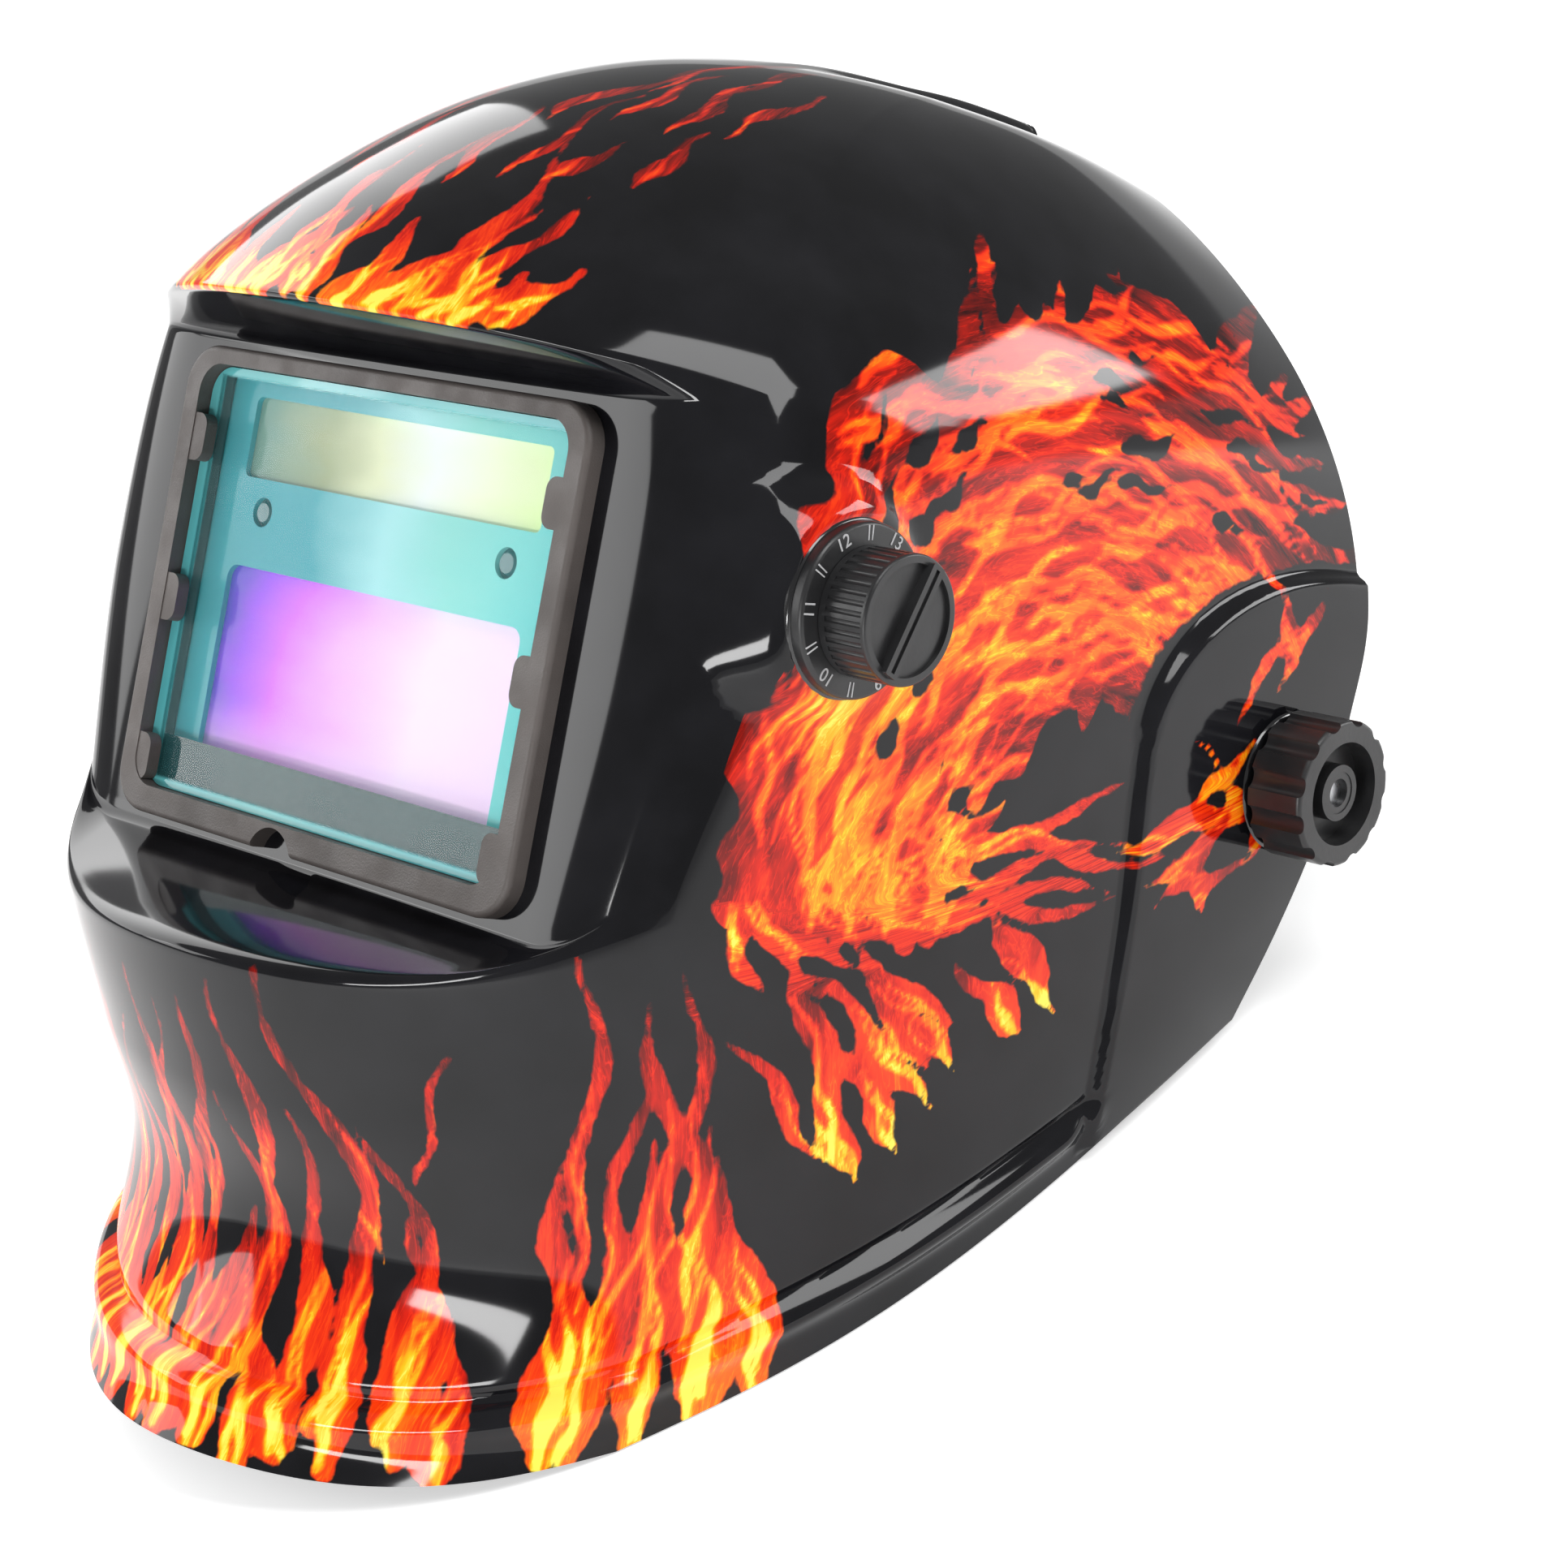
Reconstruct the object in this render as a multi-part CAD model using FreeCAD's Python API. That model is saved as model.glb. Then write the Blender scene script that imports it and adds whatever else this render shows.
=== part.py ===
import FreeCAD, Part
import os
from math import cos, exp, floor, pi, radians, sin, sqrt, tan

os.makedirs("parts", exist_ok=True)
V = FreeCAD.Vector

# ---------------------------------------------------------------- shell surface
# Each section of the shell runs from the front centreline F, round the temple corner C, to the edge of
# the open back R: (F y, F z, C x, C y, C z, R x, R y, R z, direction of the section at C in degrees,
# fullness of its front curve).
SECTIONS = [
    (-13.5, -167.5, 80.0, 36.0, -149.0, 106.0, 167.0, -57.0, 60.0, 0.50),
    (-3.0, -126.0, 82.5, 35.0, -110.0, 108.5, 176.0, -31.0, 58.0, 0.50),
    (-19.0, -95.0, 87.5, 24.0, -75.0, 110.0, 182.0, -8.0, 55.0, 0.54),
    (-34.0, -67.0, 90.5, 13.0, -44.0, 110.0, 185.0, 16.0, 52.0, 0.60),
    (-34.0, 0.0, 97.0, 16.0, 6.0, 109.5, 185.0, 38.0, 56.0, 0.60),
    (-33.0, 58.0, 90.0, 13.0, 56.0, 103.0, 181.0, 62.0, 52.0, 0.60),
    (-11.0, 85.0, 72.0, 33.0, 87.0, 91.0, 175.0, 84.0, 58.0, 0.60),
    (25.0, 111.0, 54.0, 61.0, 112.0, 73.0, 168.0, 104.0, 60.0, 0.60),
    (71.0, 127.8, 38.0, 95.0, 126.6, 53.0, 162.0, 119.0, 58.0, 0.60),
    (118.0, 128.4, 25.0, 129.0, 128.0, 36.0, 159.5, 125.0, 50.0, 0.60),
    (157.5, 128.6, 10.0, 157.7, 128.4, 21.0, 159.0, 127.6, 8.0, 0.60),
]
LEDGE, BROW = 3, 5       # section numbers of the chin ledge's edge and of the brow's edge
BOX_FOOT, BOX_HEAD = 3.14, 4.90   # section numbers where the window box meets the ledge and the soffit
CREASE = 0.5             # share of each half section in front of the temple corner
BOX_FRONT = 1.0          # y of the window box's front face
BOX_HALF = 66.0          # half width of its flat front
BOX_LOW, BOX_HIGH = -53.5, 51.5
BEAD_HEIGHT, BEAD_AT, BEAD_WIDTH = 2.4, 11.5, 3.4
GROOVE_DEPTH, GROOVE_AT, GROOVE_WIDTH = 1.3, 17.0, 1.5
SPINE_HEIGHT, SPINE_HALF = 5.4, 19.0
PANEL_HEIGHT = 2.6       # how far the raised panel round the pivot stands out
PANEL_Y, PANEL_Z, PANEL_RUN, PANEL_RISE = 187.0, 5.0, 70.0, 40.0


def smooth(a, b, x):
    s = min(1.0, max(0.0, (x - a) / (b - a)))
    return s * s * (3 - 2 * s)


def section_at(u):
    """The section numbered u, on a Catmull-Rom curve through the listed ones. The front centreline
    starts afresh at the brow's edge."""
    last = len(SECTIONS) - 1
    i = max(0, min(int(floor(u)), last - 1))
    f = u - i
    row = []
    for k, (b, c) in enumerate(zip(SECTIONS[i], SECTIONS[i + 1])):
        at_brow = k < 2 and i == BROW
        at_ledge = k < 2 and i + 1 == LEDGE
        a = 2 * b - c if i == 0 or at_brow else SECTIONS[i - 1][k]
        d = 2 * c - b if i + 2 > last or at_ledge else SECTIONS[i + 2][k]
        row.append(0.5 * (2 * b + (c - a) * f + (2 * a - 5 * b + 4 * c - d) * f ** 2
                          + (3 * b - a - 3 * c + d) * f ** 3))
    return row


def bezier(p0, p1, p2, p3, s):
    weights = ((1 - s) ** 3, 3 * s * (1 - s) ** 2, 3 * s ** 2 * (1 - s), s ** 3)
    return [sum(w * p[k] for w, p in zip(weights, (p0, p1, p2, p3))) for k in range(len(p0))]


def front_point(u, s):
    """Point of section u between the front centreline (s = 0) and the temple corner (s = 1)."""
    yf, zf, xc, yc, zc, xr, yr, zr, lean, full = section_at(u)
    slope = tan(radians(lean))
    meet = max(0.25 * xc, xc - (yc - yf) / slope)
    x, y = bezier((0, yf), (full * meet, yf), (xc - full * (xc - meet), yc - full * (yc - yf)),
                  (xc, yc), s)
    return [x, y, zf + (zc - zf) * (x / xc) ** 3.4]


def side_point(u, s):
    """Point of section u between the temple corner (s = 0) and the open back's edge (s = 1)."""
    yf, zf, xc, yc, zc, xr, yr, zr, lean, full = section_at(u)
    slope = tan(radians(lean))
    reach = min(0.5 * (yr - yc), 1.15 * (xr - xc) * slope)
    turn = xc + reach / slope
    x, y = bezier((xc, yc), (xc + 0.6 * (turn - xc), yc + 0.6 * reach), (turn, yr - 0.6 * (yr - yc)),
                  (xr, yr), s)
    return [x, y, zc + (zr - zc) * (y - yc) / max(1.0, yr - yc)]


def box_point(u, s):
    """Point of the window box: a flat front, then a rounded corner back to the temple corner."""
    xc, yc, zc = side_point(u, 0.0)
    level = BOX_LOW + (BOX_HIGH - BOX_LOW) * (u - BOX_FOOT) / (BOX_HEAD - BOX_FOOT)
    if s < 0.6:
        return [BOX_HALF * s / 0.6, BOX_FRONT, level]
    f = (s - 0.6) / 0.4
    x, y = bezier((BOX_HALF, BOX_FRONT), (xc - 9, BOX_FRONT), (xc - 7, BOX_FRONT + 4), (xc, yc), f)
    return [x, y, level + (zc - level) * smooth(0, 1, f)]


def plain_point(u, t):
    """The shell's outer face without its raised features; t runs from 0 at the front to 1 at the back."""
    s = t / CREASE
    if s >= 1:
        return side_point(u, (t - CREASE) / (1 - CREASE))
    if u <= LEDGE or u >= BROW:
        return front_point(u, s)
    if u < BOX_FOOT:
        low, high, f = front_point(LEDGE, s), box_point(BOX_FOOT, s), (u - LEDGE) / (BOX_FOOT - LEDGE)
    elif u > BOX_HEAD:
        low, high, f = box_point(BOX_HEAD, s), front_point(BROW, s), (u - BOX_HEAD) / (BROW - BOX_HEAD)
    else:
        return box_point(u, s)
    return [a + (b - a) * f for a, b in zip(low, high)]


def smooth_point(u, t):
    s = t / CREASE
    return side_point(u, (t - CREASE) / (1 - CREASE)) if s >= 1 else front_point(u, s)


def outward(u, t):
    """Unit normal of the shell as if it had no window pocket."""
    t = max(t, 0.004)
    u0, u1 = max(0.0, u - 0.03), min(10.0, u + 0.03)
    t0, t1 = t - 0.004, min(1.0, t + 0.004)
    a = [q - p for p, q in zip(smooth_point(u0, t), smooth_point(u1, t))]
    b = [q - p for p, q in zip(smooth_point(u, t0), smooth_point(u, t1))]
    n = [b[1] * a[2] - b[2] * a[1], b[2] * a[0] - b[0] * a[2], b[0] * a[1] - b[1] * a[0]]
    size = sqrt(sum(v * v for v in n)) or 1.0
    return [v / size for v in n]


def relief(u, t, p):
    """Height of the bead, groove, crown spine and pivot panel at a point of the plain shell."""
    x, y, z = p
    edge = smooth_point(0.0, t)
    run = u * sqrt(sum((a - b) ** 2 for a, b in zip(edge, smooth_point(1.0, t))))
    height = 0.0
    if u < 1.5:
        fade = 1 - smooth(120, 130, y)
        height += fade * BEAD_HEIGHT * exp(-((run - BEAD_AT) / BEAD_WIDTH) ** 2)
        height -= fade * GROOVE_DEPTH * exp(-((run - GROOVE_AT) / GROOVE_WIDTH) ** 2)
    if u > 6:
        height += SPINE_HEIGHT * smooth(62, 140, y) * (1 - smooth(SPINE_HALF - 5, SPINE_HALF + 1, x))
    if u < 6 and y > 90:
        if z > PANEL_Z:
            inside = 1 - sqrt(((y - PANEL_Y) / PANEL_RUN) ** 2 + ((z - PANEL_Z) / PANEL_RISE) ** 2)
            inside *= 40
        else:
            inside = y - (PANEL_Y - PANEL_RUN) + 0.12 * (z - PANEL_Z)
        height += PANEL_HEIGHT * smooth(-1.5, 1.5, inside) * smooth(2.0, 5.0, run)
    return height


def shell_point(u, t):
    """Outer face of the shell: u counts sections from the lower edge up, t runs -1 to 1 across."""
    side = -1 if t < 0 else 1
    p = plain_point(u, abs(t))
    n = outward(u, abs(t))
    h = relief(u, abs(t), p) if not (LEDGE < u < BROW and abs(t) < CREASE) else 0.0
    return (side * (p[0] + h * n[0]), p[1] + h * n[1], p[2] + h * n[2])

# ---------------------------------------------------------------- shell solid
WALL = 2.0               # wall thickness of the shell
ROWS = [0, 0.16, 0.3, 0.42, 0.54, 0.66, 0.8, 1, 1.25, 1.5, 1.75, 2, 2.25, 2.5, 2.7, 2.86, 3,
        BOX_FOOT, 3.6, 4, 4.45, BOX_HEAD, 5, 5.12, 5.3, 5.6, 5.9, 6.2, 6.6, 7, 7.4, 7.8, 8.2, 8.6, 9, 9.4, 9.7, 10]


def inner_point(u, t):
    """Inner face of the shell, one wall behind the outer one."""
    p = shell_point(u, t)
    side = -1 if t < 0 else 1
    n = outward(u, abs(t))
    pocket = smooth(LEDGE - 0.2, LEDGE, u) * (1 - smooth(BROW, BROW + 0.15, u))
    pocket *= 1 - smooth(0.8, 1.0, abs(t) / CREASE)
    tilt = min(1.0, max(-1.0, (u - 4.02) / 0.88))
    return (p[0] - side * WALL * n[0], p[1] - WALL * n[1], p[2] - WALL * n[2] + 1.9 * pocket * tilt)


def run(point, u, t0, t1, count):
    """Smooth edge along section u."""
    curve = Part.BSplineCurve()
    curve.interpolate([V(*point(u, t0 + (t1 - t0) * i / count)) for i in range(count + 1)])
    return curve.toShape()


def section_edges(point, u):
    return [run(point, u, -1, -CREASE, 10), run(point, u, -CREASE, CREASE, 30), run(point, u, CREASE, 1, 10)]


def line(a, b):
    return Part.makeLine(V(*a), V(*b))


def shell_solid():
    outer = [section_edges(shell_point, u) for u in ROWS]
    inner = [section_edges(inner_point, u) for u in ROWS]
    faces = []
    for rows in (outer, inner):
        for low, high in zip(rows, rows[1:]):
            faces += [Part.makeRuledSurface(a, b) for a, b in zip(low, high)]
    for k in (0, -1):
        faces += [Part.makeRuledSurface(a, b) for a, b in zip(outer[k], inner[k])]
    for t in (-1, 1):
        rims = [line(shell_point(u, t), inner_point(u, t)) for u in ROWS]
        faces += [Part.makeRuledSurface(a, b) for a, b in zip(rims, rims[1:])]
    skin = Part.Compound(faces)
    skin.sewShape(0.001)
    solid = Part.Solid(skin.Shells[0] if skin.Shells else skin)
    if solid.Volume < 0:
        solid.reverse()
    return solid

# ---------------------------------------------------------------- driving dimensions of the other pieces
STAND_TILT = 35.0        # the helmet stands on its lower side edges with its front this much up
PIVOT_Y, PIVOT_Z = 165.0, 0.0
SEAT_X = 113.8           # outer face of the pivot boss
BOLT_R = 3.0
STOW = 25.0              # how far the headgear is folded into the shell at rest
DIAL_Y, DIAL_Z, DIAL_X = 30.0, 20.0, 105.6
DIAL_R, KNOB_R, KNOB_TALL = 16.6, 12.3, 11.5
KNOB_TURN = -20          # where the shade knob's pointer stands at rest
LENS_W, LENS_H, LENS_R = 115.0, 89.0, 6.0
TAB_X, TAB_Z = 57.4, (29.0, -5.0, -39.0)
NOTCH_X = -8.5
SENSOR_X, SENSOR_Z = 38.5, 16.0
BAND_HALF_W, BAND_HALF_L, BAND_Y, BAND_TALL, BAND_THICK = 76.0, 97.0, 143.0, 22.0, 1.8
RATCHET_Y = 242.2        # front face of the size ratchet at the nape
ARM_RIVET_Y = (112, 131)
X_AXIS, Y_AXIS = V(1, 0, 0), V(0, 1, 0)


def block(x0, x1, y0, y1, z0, z1):
    return Part.makeBox(x1 - x0, y1 - y0, z1 - z0, V(x0, y0, z0))


def edges_along(shape, axis):
    """Straight edges of a shape that run along one axis."""
    found = []
    for e in shape.Edges:
        d = e.Vertexes[-1].Point - e.Vertexes[0].Point
        if d.Length > 1e-6 and abs(abs(d.dot(axis)) - d.Length) < 1e-6:
            found.append(e)
    return found


def slab(x0, x1, y0, y1, z0, z1, r, axis=Y_AXIS):
    """Box with the four edges along one axis rounded."""
    b = block(x0, x1, y0, y1, z0, z1)
    return b.makeFillet(r, edges_along(b, axis))


def rod(x, y, z, r, h, axis=X_AXIS):
    return Part.makeCylinder(r, h, V(x, y, z), axis)


def ring(x, y, z, r, hole, h, axis=X_AXIS):
    return rod(x, y, z, r, h, axis).cut(rod(x, y, z, hole, h, axis))


def mirror(shape):
    return shape.mirror(V(0, 0, 0), X_AXIS)


def fused(shapes):
    return shapes[0].multiFuse(shapes[1:]).removeSplitter()


def pivot_rod(x0, x1, r):
    return rod(x0, PIVOT_Y, PIVOT_Z, r, x1 - x0)


# ---------------------------------------------------------------- shell with its openings
def make_shell():
    body = shell_solid()
    for side in (1, -1):
        boss = pivot_rod(108, SEAT_X, 15)
        boss = boss if side > 0 else mirror(boss)
        body = body.fuse(boss)
    dial_boss = rod(95, DIAL_Y, DIAL_Z, 17.2, DIAL_X - 95)
    body = body.fuse(dial_boss)
    body = body.cut(rod(90, DIAL_Y, DIAL_Z, 12, 11))
    body = body.cut(rod(90, DIAL_Y, DIAL_Z, 3.6, 30))
    for side in (1, -1):
        hole = pivot_rod(100, 120, 3.3)
        body = body.cut(hole if side > 0 else mirror(hole))
    body = body.cut(slab(-55.3, 55.3, -2, 8, -43, 43, 5))
    for x in (-60.3, 60.3):
        for z in (-32, 30):
            body = body.cut(rod(x, -2, z, 1.95, 8, Y_AXIS))
    return body


# ---------------------------------------------------------------- window
def make_lens_frame():
    body = slab(-63, 63, -3.2, 0.97, -50.5, 48.5, 9)
    front = [e for e in body.Edges if e.BoundBox.YMax < -3.1]
    body = body.makeFillet(1.2, front)
    body = body.cut(slab(-57.7, 57.7, -5, 2, -44.7, 44.7, 6.2))
    for side in (1, -1):
        for z in TAB_Z:
            tab = slab(-4.0, 4.0, -3.0, -0.15, z - 5, z + 5, 2.6)
            tab.translate(V(side * TAB_X, 0, 0))
            body = body.fuse(tab)
    body = body.cut(rod(NOTCH_X, -5, -52.5, 7.0, 8, Y_AXIS))
    for x in (-60.3, 60.3):
        for z in (-32, 30):
            body = body.fuse(rod(x, 0.5, z, 1.85, 5.0, Y_AXIS))
    return body.removeSplitter()


def make_cover_lens():
    return slab(-LENS_W / 2, LENS_W / 2, 0, 0.98, -LENS_H / 2, LENS_H / 2, LENS_R)


def make_housing():
    """Case of the auto-darkening cartridge."""
    body = slab(-55, 55, 3.75, 13, -45, 45, 4)
    body = body.cut(block(-52.5, 52.5, 5, 11.8, -42.5, 42.5))
    body = body.cut(slab(-46.5, 46.5, 3, 6, -37, 4.3, 3))
    body = body.cut(slab(-46.5, 46.5, 3, 6, 22.8, 39.5, 1.5))
    body = body.cut(slab(-47, 47, 11, 14, -38, 5, 3))
    body = body.cut(slab(-52.2, 52.2, 12.1, 14, -40, 7.2, 2))
    for x in (-SENSOR_X, SENSOR_X):
        body = body.cut(rod(x, 3, SENSOR_Z, 3.1, 3, Y_AXIS))
    for x in (18, 42):
        body = body.cut(rod(x, 11, 26, 2.6, 3, Y_AXIS))
    body = body.cut(rod(50, 9, 20, 1.5, 8))
    return body


def make_holder():
    """Frame that holds the cartridge inside the shell."""
    body = slab(-63, 63, 3.05, 12.5, -51, 49, 6)
    body = body.cut(slab(-55.2, 55.2, 3, 13, -45.2, 45.2, 4.1))
    body = body.cut(rod(50, 9, 20, 1.9, 20))
    for x in (-60.3, 60.3):
        for z in (-32, 30):
            body = body.cut(rod(x, 3, z, 2.0, 3, Y_AXIS))
        for z in (-16, 14):
            body = body.cut(rod(x, 8, z, 1.25, 5, Y_AXIS))
    return body


def make_retainer():
    """Screwed plate that keeps the cartridge in its frame."""
    body = slab(-63, 63, 13.1, 15, -51, 49, 6)
    body = body.cut(slab(-50, 50, 12, 16, -41.5, 41.5, 4))
    for x in (-60.3, 60.3):
        for z in (-16, 14):
            body = body.cut(rod(x, 12, z, 1.6, 4, Y_AXIS))
    feet = [block(x - 2.4, x + 2.4, 12.55, 13.1, z - 4, z + 4) for x in (-60.3, 60.3) for z in (-24, 22)]
    return fused([body] + feet)


def make_retainer_screws():
    screws = []
    for x in (-60.3, 60.3):
        for z in (-16, 14):
            shank = rod(x, 8.4, z, 1.25, 6.7, Y_AXIS)
            head = rod(x, 15.05, z, 2.7, 1.8, Y_AXIS)
            slot = block(x - 2.2, x + 2.2, 16.1, 17, z - 0.35, z + 0.35)
            cross = block(x - 0.35, x + 0.35, 16.1, 17, z - 2.2, z + 2.2)
            screws.append(shank.fuse(head).cut(slot).cut(cross))
    return Part.Compound(screws)


def make_board():
    body = block(-50, 50, 7.3, 8.9, 8.2, 42)
    parts = [body]
    for x in (18, 42):
        parts.append(slab(x - 4.5, x + 4.5, 8.8, 11.5, 21.5, 30.5, 0.8))
    for x in (-6, 2):
        parts.append(block(x - 3, x + 3, 8.8, 10.4, 12, 18))
    body = fused(parts)
    for x in (18, 42):
        body = body.cut(rod(x, 9.4, 26, 1.55, 4, Y_AXIS))
    return body


def make_small_knob(x):
    """Adjusting knob on the back of the cartridge, with its shaft."""
    body = rod(x, 13.2, 26, 5.5, 6, Y_AXIS)
    body = body.fuse(rod(x, 9.5, 26, 1.5, 3.8, Y_AXIS))
    for k in range(14):
        a = 2 * pi * k / 14
        body = body.cut(rod(x + 5.8 * cos(a), 14.4, 26 + 5.8 * sin(a), 0.6, 6, Y_AXIS))
    return body.cut(block(x - 0.5, x + 0.5, 18.3, 20, 26, 31))


def make_sensors():
    group = []
    for x in (-SENSOR_X, SENSOR_X):
        base = rod(x, 5.1, SENSOR_Z, 3.9, 2.0, Y_AXIS)
        dome = Part.makeSphere(2.6, V(x, 5.6, SENSOR_Z))
        dome = dome.common(block(x - 4, x + 4, 3.9, 5.7, SENSOR_Z - 5, SENSOR_Z + 5))
        group.append(base.fuse(dome))
    return Part.Compound(group)


def make_cells():
    return Part.Compound([rod(x, 8.95, 27, 10, 2.6, Y_AXIS) for x in (-38, -16)])


# ---------------------------------------------------------------- shade control
def make_dial():
    body = rod(DIAL_X + 0.02, DIAL_Y, DIAL_Z, DIAL_R, 2.6)
    rim = [e for e in body.Edges if e.BoundBox.XMin > DIAL_X + 2]
    body = body.makeFillet(0.9, rim)
    body = body.cut(rod(DIAL_X + 1.3, DIAL_Y, DIAL_Z, 7.2, 3))
    return body.cut(rod(DIAL_X - 1, DIAL_Y, DIAL_Z, 3.6, 6))


def make_pot():
    body = rod(92.4, DIAL_Y, DIAL_Z, 8, 8.5)
    body = body.fuse(rod(100.8, DIAL_Y, DIAL_Z, 3.4, 7.9))
    body = body.fuse(block(91.0, 93.4, DIAL_Y - 4, DIAL_Y + 4, DIAL_Z - 10, DIAL_Z - 3))
    return body.cut(rod(94, DIAL_Y, DIAL_Z, 2.05, 16))


def make_pot_shaft():
    return rod(94.3, DIAL_Y, DIAL_Z, 2.0, 20)


def make_pot_nut():
    nut = Part.makePolygon([V(DIAL_X + 1.35, DIAL_Y + 5.6 * cos(pi * k / 3), DIAL_Z + 5.6 * sin(pi * k / 3))
                            for k in range(7)])
    body = Part.Face(nut).extrude(V(1.2, 0, 0))
    return body.cut(rod(DIAL_X, DIAL_Y, DIAL_Z, 3.4, 4))


def make_shade_knob():
    """Ribbed knob on the side of the helmet that sets the shade number."""
    x0 = DIAL_X + 2.75
    x1 = x0 + KNOB_TALL
    body = rod(x0, DIAL_Y, DIAL_Z, KNOB_R, KNOB_TALL)
    body = body.makeFillet(0.6, [e for e in body.Edges if e.BoundBox.XMin > x1 - 0.1])
    body = body.cut(rod(x1 - 0.9, DIAL_Y, DIAL_Z, 10.6, 2))
    bar = slab(x1 - 1.5, x1 + 1.2, DIAL_Y - 1.7, DIAL_Y + 1.7, DIAL_Z - 11.3, DIAL_Z + 11.3, 0.5, X_AXIS)
    body = body.fuse(bar)
    groove = block(x1 + 0.7, x1 + 2, DIAL_Y - 0.5, DIAL_Y + 0.5, DIAL_Z - 10.5, DIAL_Z + 10.5)
    body = body.cut(groove)
    body = body.cut(rod(x0 - 1, DIAL_Y, DIAL_Z, 2.0, 7.2))
    body = body.cut(rod(x0 - 1, DIAL_Y, DIAL_Z, 6.6, 2.2))
    for k in range(40):
        a = 2 * pi * (k + 0.5) / 40
        y, z = DIAL_Y + (KNOB_R + 0.25) * cos(a), DIAL_Z + (KNOB_R + 0.25) * sin(a)
        body = body.cut(rod(x0 + 1.5, y, z, 0.6, KNOB_TALL - 2.6))
    body.rotate(V(0, DIAL_Y, DIAL_Z), X_AXIS, KNOB_TURN)
    return body


def make_cable():
    points = [V(53.5, 9, 20), V(58, 9, 20), V(62, 9, 20), V(66, 9.3, 20), V(78, 16, 18), V(90.1, 27, 14)]
    curve = Part.BSplineCurve()
    curve.interpolate(points)
    path = Part.Wire([curve.toShape()])
    start = curve.tangent(curve.FirstParameter)[0]
    profile = Part.Wire([Part.makeCircle(1.1, points[0], start)])
    return path.makePipeShell([profile], True, False)


# ---------------------------------------------------------------- pivots
def make_tension_knob():
    """Lobed knob that clamps one pivot of the headgear."""
    x0, x1 = SEAT_X + 1.35, SEAT_X + 14.6
    body = pivot_rod(x0, x1, 15.6)
    body = body.makeFillet(1.0, [e for e in body.Edges if e.BoundBox.XMin > x1 - 0.1])
    for k in range(12):
        a = 2 * pi * k / 12
        y, z = PIVOT_Y + 17.0 * cos(a), PIVOT_Z + 17.0 * sin(a)
        body = body.cut(rod(x0 - 1, y, z, 2.7, 20))
    well = pivot_rod(x1 - 5, x1 + 1, 11.0).cut(pivot_rod(x1 - 5, x1 + 1, 6.0))
    body = body.cut(well)
    body = body.cut(pivot_rod(x1 - 1.2, x1 + 1, 7.0))
    return body.cut(pivot_rod(x0 - 1, x1 + 1, 4.5))


def make_insert():
    x0, x1 = SEAT_X + 1.6, SEAT_X + 13.2
    return pivot_rod(x0, x1, 4.5).cut(pivot_rod(x0 - 1, x1 + 1, BOLT_R + 0.03))


def make_pivot_washer():
    return ring(SEAT_X + 0.03, PIVOT_Y, PIVOT_Z, 11, 3.3, 1.2)


def make_friction_washer():
    return ring(104.3, PIVOT_Y, PIVOT_Z, 13, 3.3, 3.65)


def make_bolt():
    head = pivot_rod(98.2, 100.65, 7.5)
    dome = Part.makeSphere(12.5, V(108.4, PIVOT_Y, PIVOT_Z)).common(pivot_rod(95, 98.3, 7.5))
    neck = block(100.6, 103.6, PIVOT_Y - 3.2, PIVOT_Y + 3.2, PIVOT_Z - 3.2, PIVOT_Z + 3.2)
    shank = pivot_rod(103.5, SEAT_X + 11.5, BOLT_R)
    return fused([head, dome, neck, shank])


def make_arm():
    """Side arm of the headgear, from the headband out to the pivot bolt."""
    plate = slab(100.7, 104.2, 116, PIVOT_Y, -11, 11, 3, X_AXIS)
    plate = plate.fuse(rod(100.7, PIVOT_Y, PIVOT_Z, 13, 3.5))
    web = block(80, 102, 116, 119.5, -9, 9)
    foot = slab(78.1, 80.6, 108, 136, -9, 9, 3, X_AXIS)
    body = fused([plate, web, foot])
    hole = block(100, 105, PIVOT_Y - 3.25, PIVOT_Y + 3.25, PIVOT_Z - 3.25, PIVOT_Z + 3.25)
    for y in ARM_RIVET_Y:
        body = body.cut(rod(70, y, 0, 1.6, 12))
    return body.cut(hole)


# ---------------------------------------------------------------- headgear
def band_point(angle, grow):
    """Plan of the headband; angle 0 is the front and 180 the nape."""
    s, c = sin(radians(angle)), cos(radians(angle))
    x = (BAND_HALF_W + grow) * abs(s) ** 0.87 * (1 if s > 0 else -1)
    y = BAND_Y - (BAND_HALF_L + grow) * abs(c) ** 0.87 * (1 if c > 0 else -1)
    return x, y


def band_piece(a0, a1, inner, outer, z0, z1):
    """Upright strip that follows the headband's plan between two angles and two offsets."""
    count = max(8, int(abs(a1 - a0) / 6))
    angles = [a0 + (a1 - a0) * k / count for k in range(count + 1)]
    curves = []
    for grow in (inner, outer):
        curve = Part.BSplineCurve()
        curve.interpolate([V(*band_point(a, grow), z0) for a in angles])
        curves.append(curve.toShape())
    ends = [Part.makeLine(V(*band_point(a, inner), z0), V(*band_point(a, outer), z0)) for a in (a0, a1)]
    wire = Part.Wire(Part.__sortEdges__([curves[0], ends[1], curves[1], ends[0]]))
    return Part.Face(wire).extrude(V(0, 0, z1 - z0))


def make_headband():
    tall = BAND_TALL / 2
    body = band_piece(-168, 168, 0, BAND_THICK, -tall, tall)
    for side in (1, -1):
        for y in ARM_RIVET_Y + (153,):
            x = 70 if side > 0 else -82
            body = body.cut(rod(x, y, 0, 1.6, 12))
    return body


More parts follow.
